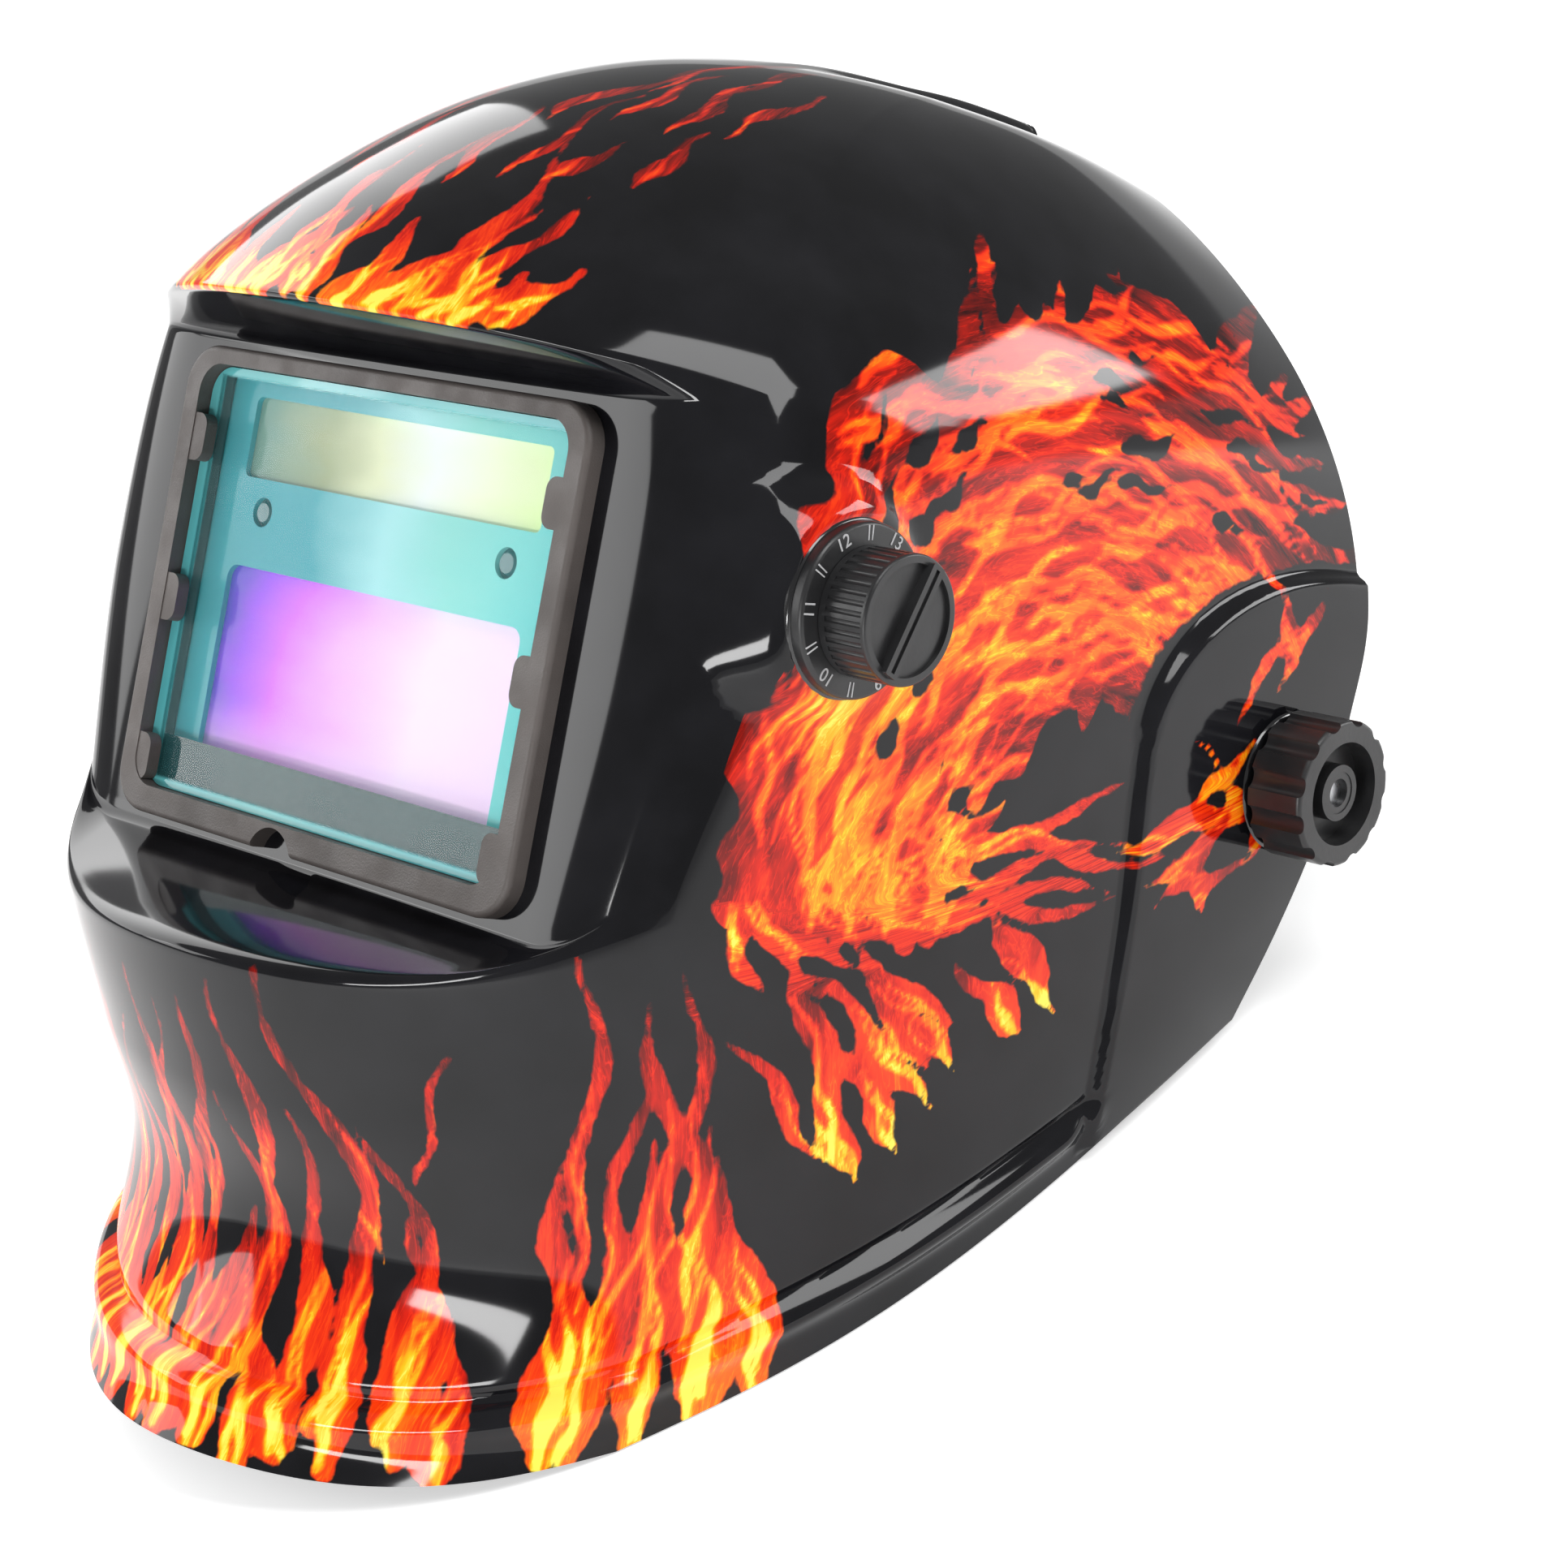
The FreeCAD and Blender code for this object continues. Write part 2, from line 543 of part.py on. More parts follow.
def make_crown_strap():
    """Strap over the head from one side of the headband to the other."""
    def arch(grow, y):
        curve = Part.BSplineCurve()
        points = []
        for k in range(25):
            a = pi * k / 24
            x = (78.1 + grow) * cos(a)
            points.append(V(x, y, 8 + (104 + grow) * max(0.0, sin(a)) ** 0.8))
        curve.interpolate(points)
        return curve.toShape()
    y0, y1 = 144, 162
    low, high = arch(0, y0), arch(1.6, y0)
    feet = [Part.makeLine(V(s * 78.1, y0, 8), V(s * 79.7, y0, 8)) for s in (1, -1)]
    face = Part.Face(Part.Wire(Part.__sortEdges__([low, feet[0], high, feet[1]])))
    body = face.extrude(V(0, y1 - y0, 0))
    legs = [block(78.1, 79.7, y0, y1, -9, 8.2), block(-79.7, -78.1, y0, y1, -9, 8.2)]
    body = fused([body] + legs)
    return body.cut(rod(-90, 153, 0, 1.6, 180))


def band_inside(y):
    """Half width of the headband's inner face at a given y."""
    c = ((BAND_Y - y) / BAND_HALF_L) ** 2
    return BAND_HALF_W * (1 - c ** (1 / 0.87)) ** (0.87 / 2)


def make_rivets(rows, reach):
    """Blind rivets from inside the headband out to x = reach, on both sides."""
    group = []
    for y in rows:
        x0 = band_inside(y - 3 if y < BAND_Y else y + 3) - 0.15
        pin = fused([rod(x0 - 1.1, y, 0, 1.5, reach - x0 + 1.2), rod(x0 - 1.2, y, 0, 2.8, 1.2),
                     rod(reach + 0.02, y, 0, 2.8, 1.2)])
        group += [pin, mirror(pin)]
    return Part.Compound(group)


def make_rack(side):
    """Toothed size strip of one end of the headband; the left one runs above the pinion."""
    z0, z1 = 5.35, 12.0
    y0, y1 = RATCHET_Y + 2.2, RATCHET_Y + 4.6
    body = block(-24, 42, y0, y1, z0 + 1.5, z1)
    teeth = []
    for k in range(20):
        x = -23 + 2.6 * k
        face = Part.Face(Part.makePolygon([V(x - 1.0, y0, z0 + 1.6), V(x - 0.3, y0, z0),
                                           V(x + 0.3, y0, z0), V(x + 1.0, y0, z0 + 1.6),
                                           V(x - 1.0, y0, z0 + 1.6)]))
        teeth.append(face.extrude(V(0, y1 - y0, 0)))
    body = fused([body] + teeth)
    if side < 0:
        body.rotate(V(0, 0, 0), Y_AXIS, 180)
    return body


def make_ratchet_housing():
    y0, y1 = RATCHET_Y + 1.6, RATCHET_Y + 13
    body = slab(-34, 34, y0, y1, -18, 18, 5)
    body = body.makeFillet(2.0, [e for e in body.Edges if e.BoundBox.YMin > y1 - 0.1])
    for z in (5.0, -12.4):
        body = body.cut(block(-40, 40, y0 - 1, y0 + 3.4, z, z + 7.4))
    body = body.cut(rod(0, y0 - 1, 0, 5.6, 5.0, Y_AXIS))
    return body.cut(rod(0, y0 - 1, 0, 3.05, 14, Y_AXIS))


def make_ratchet_plate():
    body = slab(-34, 34, RATCHET_Y, RATCHET_Y + 1.55, -18, 18, 5)
    return body.cut(rod(0, RATCHET_Y - 1, 0, 2.05, 4, Y_AXIS))


def make_pinion():
    y0 = RATCHET_Y + 2.0
    body = rod(0, y0, 0, 4.2, 3.0, Y_AXIS)
    teeth = []
    for k in range(10):
        tooth = block(-0.7, 0.7, y0, y0 + 3, 3.8, 5.25)
        tooth.rotate(V(0, 0, 0), Y_AXIS, 36 * k)
        teeth.append(tooth)
    shaft = rod(0, y0 + 2.9, 0, 3.0, 13.6, Y_AXIS)
    pin = rod(0, y0 - 1.9, 0, 2.0, 2.0, Y_AXIS)
    return fused([body, shaft, pin] + teeth)


def make_ratchet_knob():
    y0 = RATCHET_Y + 13.4
    body = rod(0, y0, 0, 19, 13, Y_AXIS)
    body = body.makeFillet(2.0, [e for e in body.Edges if e.BoundBox.YMin > y0 + 12.9])
    for k in range(16):
        a = 2 * pi * k / 16
        body = body.cut(rod(20.4 * cos(a), y0 - 1, 20.4 * sin(a), 2.6, 20, Y_AXIS))
    return body.cut(rod(0, y0 - 0.4, 0, 3.0, 5.6, Y_AXIS))


def make_sweatband():
    return band_piece(-58, 58, -7.3, -0.3, -14, 14)


def make_rear_pad():
    return band_piece(156, 204, -8.3, -0.3, -15, 15)


# ---------------------------------------------------------------- assembly
def stowed(shape):
    """Headgear pieces are drawn level, then folded into the shell about the pivots."""
    moved = shape.copy()
    moved.rotate(V(0, PIVOT_Y, PIVOT_Z), X_AXIS, STOW)
    return moved


def assembly():
    knob, washer, friction, bolt, insert, arm = (make_tension_knob(), make_pivot_washer(),
                                                 make_friction_washer(), make_bolt(), make_insert(), make_arm())
    fixed = {
        "shell": make_shell(),
        "cover_lens_frame": make_lens_frame(),
        "cover_lens": make_cover_lens(),
        "cartridge_housing": make_housing(),
        "interference_filter": block(-49, 49, 5.05, 6.15, -39.5, 6.8),
        "lcd_shutter": block(-49, 49, 6.2, 9.6, -39.5, 6.8),
        "solar_panel": block(-48, 48, 5.05, 7.0, 21.5, 41),
        "arc_sensors": make_sensors(),
        "circuit_board": make_board(),
        "battery_cells": make_cells(),
        "inner_lens": slab(-52, 52, 12.12, 13.0, -39.8, 7, 2),
        "cartridge_holder": make_holder(),
        "cartridge_retainer": make_retainer(),
        "retainer_screws": make_retainer_screws(),
        "sensitivity_knob": make_small_knob(18),
        "delay_knob": make_small_knob(42),
        "shade_dial": make_dial(),
        "shade_potentiometer": make_pot(),
        "shade_shaft": make_pot_shaft(),
        "shade_nut": make_pot_nut(),
        "shade_knob": make_shade_knob(),
        "shade_cable": make_cable(),
        "tension_knob_left": knob,
        "tension_knob_right": mirror(knob),
        "knob_insert_left": insert,
        "knob_insert_right": mirror(insert),
        "pivot_washer_left": washer,
        "pivot_washer_right": mirror(washer),
    }
    headgear = {
        "friction_washer_left": friction,
        "friction_washer_right": mirror(friction),
        "pivot_bolt_left": bolt,
        "pivot_bolt_right": mirror(bolt),
        "pivot_arm_left": arm,
        "pivot_arm_right": mirror(arm),
        "headband": make_headband(),
        "arm_rivets": make_rivets(ARM_RIVET_Y, 80.6),
        "crown_strap": make_crown_strap(),
        "crown_rivets": make_rivets([153], 79.7),
        "size_rack_left": make_rack(1),
        "size_rack_right": make_rack(-1),
        "ratchet_housing": make_ratchet_housing(),
        "ratchet_plate": make_ratchet_plate(),
        "ratchet_pinion": make_pinion(),
        "ratchet_knob": make_ratchet_knob(),
        "sweatband": make_sweatband(),
        "rear_pad": make_rear_pad(),
    }
    nodes = dict(fixed)
    nodes.update((name, stowed(shape)) for name, shape in headgear.items())
    return nodes


def stood_up(nodes):
    """Tilt the whole helmet back onto its lower side edges; centre it over the origin."""
    placed = {}
    for name, shape in nodes.items():
        placed[name] = shape.copy()
        placed[name].rotate(V(0, 0, 0), X_AXIS, -STAND_TILT)
    boxes = [s.optimalBoundingBox(False, False) for s in placed.values()]
    middle = (min(b.YMin for b in boxes) + max(b.YMax for b in boxes)) / 2
    floor_z = min(b.ZMin for b in boxes)
    for shape in placed.values():
        shape.translate(V(0, -middle, -floor_z))
    return placed


for node, shape in stood_up(assembly()).items():
    shape.exportStep("parts/" + node + ".step")
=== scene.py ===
from math import cos, floor, pi, radians, sin, sqrt, tan

import bmesh
import bpy
import numpy as np
from mathutils import Matrix, Vector


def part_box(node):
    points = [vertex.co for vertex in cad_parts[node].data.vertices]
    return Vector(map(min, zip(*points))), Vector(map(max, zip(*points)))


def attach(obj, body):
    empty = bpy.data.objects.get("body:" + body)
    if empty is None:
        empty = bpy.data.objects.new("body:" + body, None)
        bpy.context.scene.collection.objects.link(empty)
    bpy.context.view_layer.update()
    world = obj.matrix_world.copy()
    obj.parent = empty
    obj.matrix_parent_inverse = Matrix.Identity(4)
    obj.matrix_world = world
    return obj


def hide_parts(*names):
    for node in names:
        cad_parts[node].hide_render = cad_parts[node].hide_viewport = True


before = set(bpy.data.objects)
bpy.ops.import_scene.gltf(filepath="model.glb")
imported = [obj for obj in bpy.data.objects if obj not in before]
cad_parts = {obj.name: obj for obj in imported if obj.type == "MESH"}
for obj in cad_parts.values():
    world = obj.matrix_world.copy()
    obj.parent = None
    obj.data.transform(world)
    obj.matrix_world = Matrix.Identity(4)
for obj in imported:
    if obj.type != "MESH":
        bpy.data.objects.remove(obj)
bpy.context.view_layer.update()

MM = 0.001
STAND_TILT = radians(35)      # the helmet stands on its lower side edges with its front this much up
PIVOT_Y = 165.0               # the pivots' place in the design frame, in millimetres

# ---------------------------------------------------------------- frames
washer_low, washer_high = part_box("pivot_washer_left")
PIVOT = Vector((0, (washer_low[1] + washer_high[1]) / 2, (washer_low[2] + washer_high[2]) / 2))
TILT = Matrix.Rotation(-STAND_TILT, 3, "X")
SHIFT = PIVOT - TILT @ Vector((0, PIVOT_Y * MM, 0))


def to_row(points):
    """Design frame (origin on the cover lens, millimetres) to the row frame in metres."""
    return np.asarray(points) * MM @ np.array(TILT).T + np.array(SHIFT)


def new_object(name, data):
    obj = bpy.data.objects.new(name, data)
    bpy.context.scene.collection.objects.link(obj)
    return obj


def mesh_data(name, mesh):
    """Mesh data from a bmesh, which is freed."""
    data = bpy.data.meshes.new(name)
    mesh.to_mesh(data)
    mesh.free()
    return data


# ---------------------------------------------------------------- shell surface
# Each section of the shell runs from the front centreline F, round the temple corner C, to the edge of
# the open back R: (F y, F z, C x, C y, C z, R x, R y, R z, direction of the section at C in degrees,
# fullness of its front curve).
SECTIONS = [
    (-13.5, -167.5, 80.0, 36.0, -149.0, 106.0, 167.0, -57.0, 60.0, 0.50),
    (-3.0, -126.0, 82.5, 35.0, -110.0, 108.5, 176.0, -31.0, 58.0, 0.50),
    (-19.0, -95.0, 87.5, 24.0, -75.0, 110.0, 182.0, -8.0, 55.0, 0.54),
    (-34.0, -67.0, 90.5, 13.0, -44.0, 110.0, 185.0, 16.0, 52.0, 0.60),
    (-34.0, 0.0, 97.0, 16.0, 6.0, 109.5, 185.0, 38.0, 56.0, 0.60),
    (-33.0, 58.0, 90.0, 13.0, 56.0, 103.0, 181.0, 62.0, 52.0, 0.60),
    (-11.0, 85.0, 72.0, 33.0, 87.0, 91.0, 175.0, 84.0, 58.0, 0.60),
    (25.0, 111.0, 54.0, 61.0, 112.0, 73.0, 168.0, 104.0, 60.0, 0.60),
    (71.0, 127.8, 38.0, 95.0, 126.6, 53.0, 162.0, 119.0, 58.0, 0.60),
    (118.0, 128.4, 25.0, 129.0, 128.0, 36.0, 159.5, 125.0, 50.0, 0.60),
    (157.5, 128.6, 10.0, 157.7, 128.4, 21.0, 159.0, 127.6, 8.0, 0.60),
]
LEDGE, BROW = 3, 5            # section numbers of the chin ledge's edge and of the brow's edge
BOX_FOOT, BOX_HEAD = 3.14, 4.90   # section numbers where the window box meets the ledge and the soffit
CREASE = 0.5                  # share of each half section in front of the temple corner
BOX_FRONT, BOX_HALF = 1.0, 66.0   # y and half width of the window box's flat front
BOX_FLAT = 0.6                # share of the box's half section that is flat
BOX_LOW, BOX_HIGH = -53.5, 51.5
BEAD_HEIGHT, BEAD_AT, BEAD_WIDTH = 2.4, 11.5, 3.4
GROOVE_DEPTH, GROOVE_AT, GROOVE_WIDTH = 1.3, 17.0, 1.5
SPINE_HEIGHT, SPINE_HALF = 5.4, 19.0
PANEL_HEIGHT, PANEL_Y, PANEL_Z, PANEL_RUN, PANEL_RISE = 2.6, 187.0, 5.0, 70.0, 40.0
WALL = 2.0                    # wall thickness of the shell
INNER_STEP = 4                # the inner face keeps every fourth row and column
OPENING_TALL = 43.0           # half height of the window opening
OPENING_T = 0.2514            # its half width, as a share of the half section
DIAL_Y, DIAL_Z = 30.0, 20.0   # centre of the shade dial on the near side
DIAL_SEAT_X, DIAL_SEAT_R = 105.2, 17.4
# Edges that are rounded, as (section number, reach before it, reach after it).
ROUNDED = [(LEDGE, 0.07, 0.018), (BOX_FOOT, 0.012, 0.03), (BOX_HEAD, 0.03, 0.01), (BROW, 0.010, 0.05)]


def smooth(a, b, x):
    s = np.clip((x - a) / (b - a), 0, 1)
    return s * s * (3 - 2 * s)


def section_at(u):
    """The section numbered u, on a Catmull-Rom curve through the listed ones. The front centreline
    starts afresh at the brow's edge."""
    last = len(SECTIONS) - 1
    i = max(0, min(int(floor(u)), last - 1))
    f = u - i
    row = []
    for k, (b, c) in enumerate(zip(SECTIONS[i], SECTIONS[i + 1])):
        at_brow = k < 2 and i == BROW
        at_ledge = k < 2 and i + 1 == LEDGE
        a = 2 * b - c if i == 0 or at_brow else SECTIONS[i - 1][k]
        d = 2 * c - b if i + 2 > last or at_ledge else SECTIONS[i + 2][k]
        row.append(0.5 * (2 * b + (c - a) * f + (2 * a - 5 * b + 4 * c - d) * f ** 2
                          + (3 * b - a - 3 * c + d) * f ** 3))
    return row


def bezier(p0, p1, p2, p3, s):
    weights = ((1 - s) ** 3, 3 * s * (1 - s) ** 2, 3 * s ** 2 * (1 - s), s ** 3)
    return [sum(w * p[k] for w, p in zip(weights, (p0, p1, p2, p3))) for k in range(len(p0))]


def front_part(u, s):
    """Section u from the front centreline (s = 0) to the temple corner (s = 1)."""
    yf, zf, xc, yc, zc, xr, yr, zr, lean, full = section_at(u)
    slope = tan(radians(lean))
    meet = max(0.25 * xc, xc - (yc - yf) / slope)
    x, y = bezier((0, yf), (full * meet, yf), (xc - full * (xc - meet), yc - full * (yc - yf)),
                  (xc, yc), s)
    return np.stack([x, y, zf + (zc - zf) * (x / xc) ** 3.4], -1)


def side_part(u, s):
    """Section u from the temple corner (s = 0) to the open back's edge (s = 1)."""
    yf, zf, xc, yc, zc, xr, yr, zr, lean, full = section_at(u)
    slope = tan(radians(lean))
    reach = min(0.5 * (yr - yc), 1.15 * (xr - xc) * slope)
    turn = xc + reach / slope
    x, y = bezier((xc, yc), (xc + 0.6 * (turn - xc), yc + 0.6 * reach), (turn, yr - 0.6 * (yr - yc)),
                  (xr, yr), s)
    return np.stack([x, y, zc + (zr - zc) * (y - yc) / max(1.0, yr - yc)], -1)


def box_part(u, s):
    """Section u of the window box: a flat front, then a rounded corner back to the temple corner."""
    xc, yc, zc = side_part(u, np.zeros(1))[0]
    level = BOX_LOW + (BOX_HIGH - BOX_LOW) * (u - BOX_FOOT) / (BOX_HEAD - BOX_FOOT)
    f = np.clip((s - BOX_FLAT) / (1 - BOX_FLAT), 0, 1)
    x, y = bezier((BOX_HALF, BOX_FRONT), (xc - 9, BOX_FRONT), (xc - 7, BOX_FRONT + 4), (xc, yc), f)
    x = np.where(s < BOX_FLAT, BOX_HALF * s / BOX_FLAT, x)
    return np.stack([x, y, level + (zc - level) * smooth(0, 1, f)], -1)


def smooth_row(u, t):
    """Section u without the window pocket, for t from 0 at the front to 1 at the back's edge."""
    front = t < CREASE
    return np.concatenate([front_part(u, t[front] / CREASE),
                           side_part(u, (t[~front] - CREASE) / (1 - CREASE))])


def plain_row(u, t):
    """Section u with the window pocket."""
    if u <= LEDGE or u >= BROW:
        return smooth_row(u, t)
    front = t < CREASE
    s = t[front] / CREASE
    if u < BOX_FOOT:
        f = (u - LEDGE) / (BOX_FOOT - LEDGE)
        pocket = (1 - f) * front_part(LEDGE, s) + f * box_part(BOX_FOOT, s)
    elif u > BOX_HEAD:
        f = (u - BOX_HEAD) / (BROW - BOX_HEAD)
        pocket = (1 - f) * box_part(BOX_HEAD, s) + f * front_part(BROW, s)
    else:
        pocket = box_part(u, s)
    return np.concatenate([pocket, side_part(u, (t[~front] - CREASE) / (1 - CREASE))])


def rounded_row(u, t):
    """Section u with the pocket's edges rounded."""
    for edge, before, after in ROUNDED:
        f = (u - edge + before) / (before + after)
        if 0 < f < 1:
            a, b, c = (plain_row(v, t) for v in (edge - before, edge, edge + after))
            return (1 - f) ** 2 * a + 2 * f * (1 - f) * b + f ** 2 * c
    return plain_row(u, t)


def unit(v):
    return v / np.maximum(np.linalg.norm(v, axis=-1, keepdims=True), 1e-9)


def panel_depth(y, z):
    """Distance inside the pivot panel's outline in millimetres, negative outside it."""
    arch = 40 * (1 - np.sqrt(((y - PANEL_Y) / PANEL_RUN) ** 2 + ((z - PANEL_Z) / PANEL_RISE) ** 2))
    return np.where(z > PANEL_Z, arch, y - (PANEL_Y - PANEL_RUN) + 0.12 * (z - PANEL_Z))


def relief(u, p, run):
    """Height of the bead, groove, crown spine and pivot panel over the plain shell."""
    x, y, z = p[..., 0], p[..., 1], p[..., 2]
    fade = (1 - smooth(120, 130, y)) * (u < 1.5)
    height = fade * BEAD_HEIGHT * np.exp(-((run - BEAD_AT) / BEAD_WIDTH) ** 2)
    height = height - fade * GROOVE_DEPTH * np.exp(-((run - GROOVE_AT) / GROOVE_WIDTH) ** 2)
    spine = SPINE_HEIGHT * smooth(62, 140, y) * (1 - smooth(SPINE_HALF - 5, SPINE_HALF + 1, x))
    height = height + np.where(u > 6, spine, 0)
    panel = PANEL_HEIGHT * smooth(-1.5, 1.5, panel_depth(y, z)) * smooth(2.0, 5.0, run)
    return height + np.where((u < 6) & (y > 90), panel, 0)


def spread(stops):
    """Row or column positions from (start, end, count) runs, meeting end to end."""
    values = []
    for a, b, n in stops:
        values += [a + (b - a) * k / n for k in range(n)]
    return np.array(values + [stops[-1][1]])


U = spread([(0, 0.8, 40), (0.8, 2.93, 72), (2.93, 3.018, 8), (3.018, 3.128, 8), (3.128, 3.17, 8),
            (3.17, 3.316, 4), (3.316, 4.757, 36), (4.757, 4.87, 4), (4.87, 4.91, 8), (4.91, 4.99, 8),
            (4.99, 5.05, 8), (5.05, 7.0, 84), (7.0, 10.0, 72)])
T_FRONT = [(0, 0.2513, 52), (0.2513, 0.3, 8), (0.3, CREASE, 40)]
T = spread(T_FRONT + [(CREASE, 0.52, 4), (0.52, 0.83, 68), (0.83, 0.90, 36), (0.90, 1, 24)])
T_BOTH = np.concatenate([-T[:0:-1], T])


def shell_grids():
    """Outer and inner faces of the near half, as arrays of rows by columns of points."""
    plain = np.array([rounded_row(u, T) for u in U])
    base = np.array([smooth_row(u, T) for u in U])
    du = np.gradient(base, axis=0)
    dt = np.gradient(base, axis=1)
    dt[:, 0] = (1, 0, 0)
    out = unit(np.cross(dt, du))
    out[:, 0, 0] = 0
    step = np.linalg.norm(smooth_row(0.0, T) - smooth_row(1.0, T), axis=1)
    u = U[:, None]
    height = relief(u, plain, u * step[None, :])
    pocket = (u > LEDGE) & (u < BROW) & (T[None, :] < CREASE)
    height = np.where(pocket, 0, height)
    outer = plain + height[..., None] * out
    inside = smooth(LEDGE - 0.2, LEDGE, u) * (1 - smooth(BROW, BROW + 0.15, u))
    inside = inside * (1 - smooth(0.8, 1.0, T[None, :] / CREASE))
    inner = outer - WALL * out
    inner[..., 2] += 1.9 * inside * np.clip((u - 4.02) / 0.88, -1, 1)
    return outer, inner


def dial_seat(grid):
    """Swells the near side's outer face, behind the temple crease, up to the seat of the shade dial."""
    run = np.maximum(0, np.hypot(grid[..., 1] - DIAL_Y, grid[..., 2] - DIAL_Z) - DIAL_SEAT_R)
    seat = DIAL_SEAT_X - 0.25 * run - 0.10 * run ** 2
    gap = seat - grid[..., 0]
    lift = 0.5 * (gap + np.sqrt(gap ** 2 + 1.2)) * smooth(0.41, 0.50, T) * (gap > -9)
    swollen = grid.copy()
    swollen[..., 0] += lift
    return swollen


def mirrored(grid):
    """Both halves of a grid whose first column is on the centreline."""
    far = grid[:, :0:-1] * (-1, 1, 1)
    return np.concatenate([far, grid], axis=1)


def mesh_object(name, verts, faces):
    mesh = bpy.data.meshes.new(name)
    mesh.from_pydata([tuple(v) for v in verts], [], faces)
    mesh.update()
    return new_object(name, mesh)


def smooth_shade(obj, angle=35):
    obj.data.polygons.foreach_set("use_smooth", [True] * len(obj.data.polygons))
    obj.data.set_sharp_from_angle(angle=radians(angle))


def window_opening():
    """First and last row and column of the window opening, on rows and columns that the inner face keeps."""
    level = BOX_LOW + (BOX_HIGH - BOX_LOW) * (U - BOX_FOOT) / (BOX_HEAD - BOX_FOOT)
    rows = [i for i in range(0, len(U), INNER_STEP) if abs(level[i]) <= OPENING_TALL
            and BOX_FOOT < U[i] < BOX_HEAD]
    cols = [j for j in range(0, len(T_BOTH), INNER_STEP) if abs(T_BOTH[j]) <= OPENING_T]
    return rows[0], rows[-1], cols[0], cols[-1]


def shell_faces(rows, cols, in_rows, in_cols):
    """Faces of the outer skin, the inner skin, the outer edge and the window opening's edge."""
    n = INNER_STEP
    first_inner = rows * cols
    r0, r1, c0, c1 = window_opening()

    def a(i, j):
        return i * cols + j

    def b(i, j):
        return first_inner + i * in_cols + j

    faces = []
    for i in range(rows - 1):
        for j in range(cols - 1):
            if not (r0 <= i < r1 and c0 <= j < c1):
                faces.append((a(i, j), a(i, j + 1), a(i + 1, j + 1), a(i + 1, j)))
    for i in range(in_rows - 1):
        for j in range(in_cols - 1):
            if not (r0 <= i * n < r1 and c0 <= j * n < c1):
                faces.append((b(i, j), b(i + 1, j), b(i + 1, j + 1), b(i, j + 1)))
    for j in range(in_cols - 1):
        span = [a(0, k) for k in range(j * n, j * n + n + 1)]
        faces.append(tuple([b(0, j), b(0, j + 1)] + span[::-1]))
        span = [a(rows - 1, k) for k in range(j * n, j * n + n + 1)]
        faces.append(tuple([b(in_rows - 1, j + 1), b(in_rows - 1, j)] + span))
    for i in range(in_rows - 1):
        span = [a(k, 0) for k in range(i * n, i * n + n + 1)]
        faces.append(tuple([b(i + 1, 0), b(i, 0)] + span))
        span = [a(k, cols - 1) for k in range(i * n, i * n + n + 1)]
        faces.append(tuple([b(i, in_cols - 1), b(i + 1, in_cols - 1)] + span[::-1]))
    for k0 in range(c0, c1, n):
        for i, flip in ((r0, 1), (r1, -1)):
            span = [a(i, k) for k in range(k0, k0 + n + 1)]
            ring = [b(i // n, k0 // n + 1), b(i // n, k0 // n)] + span
            faces.append(tuple(ring[::flip]))
    for k0 in range(r0, r1, n):
        for j, flip in ((c0, -1), (c1, 1)):
            span = [a(k, j) for k in range(k0, k0 + n + 1)]
            ring = [b(k0 // n + 1, j // n), b(k0 // n, j // n)] + span
            faces.append(tuple(ring[::flip]))
    return faces


def build_shell():
    """The shell's object, and its outer face's points."""
    near_outer, near_inner = shell_grids()
    outer, inner = mirrored(near_outer), mirrored(near_inner)[::INNER_STEP, ::INNER_STEP]
    outer[:, len(T) - 1:] = dial_seat(near_outer)
    verts = np.concatenate([outer.reshape(-1, 3), inner.reshape(-1, 3)])
    obj = mesh_object("shell_skin", to_row(verts), shell_faces(*outer.shape[:2], *inner.shape[:2]))
    smooth_shade(obj, 40)
    return obj, outer


# ---------------------------------------------------------------- flame artwork
FAR = 30.0                    # value of a distance field away from every tongue
SPINE_POINTS = 22


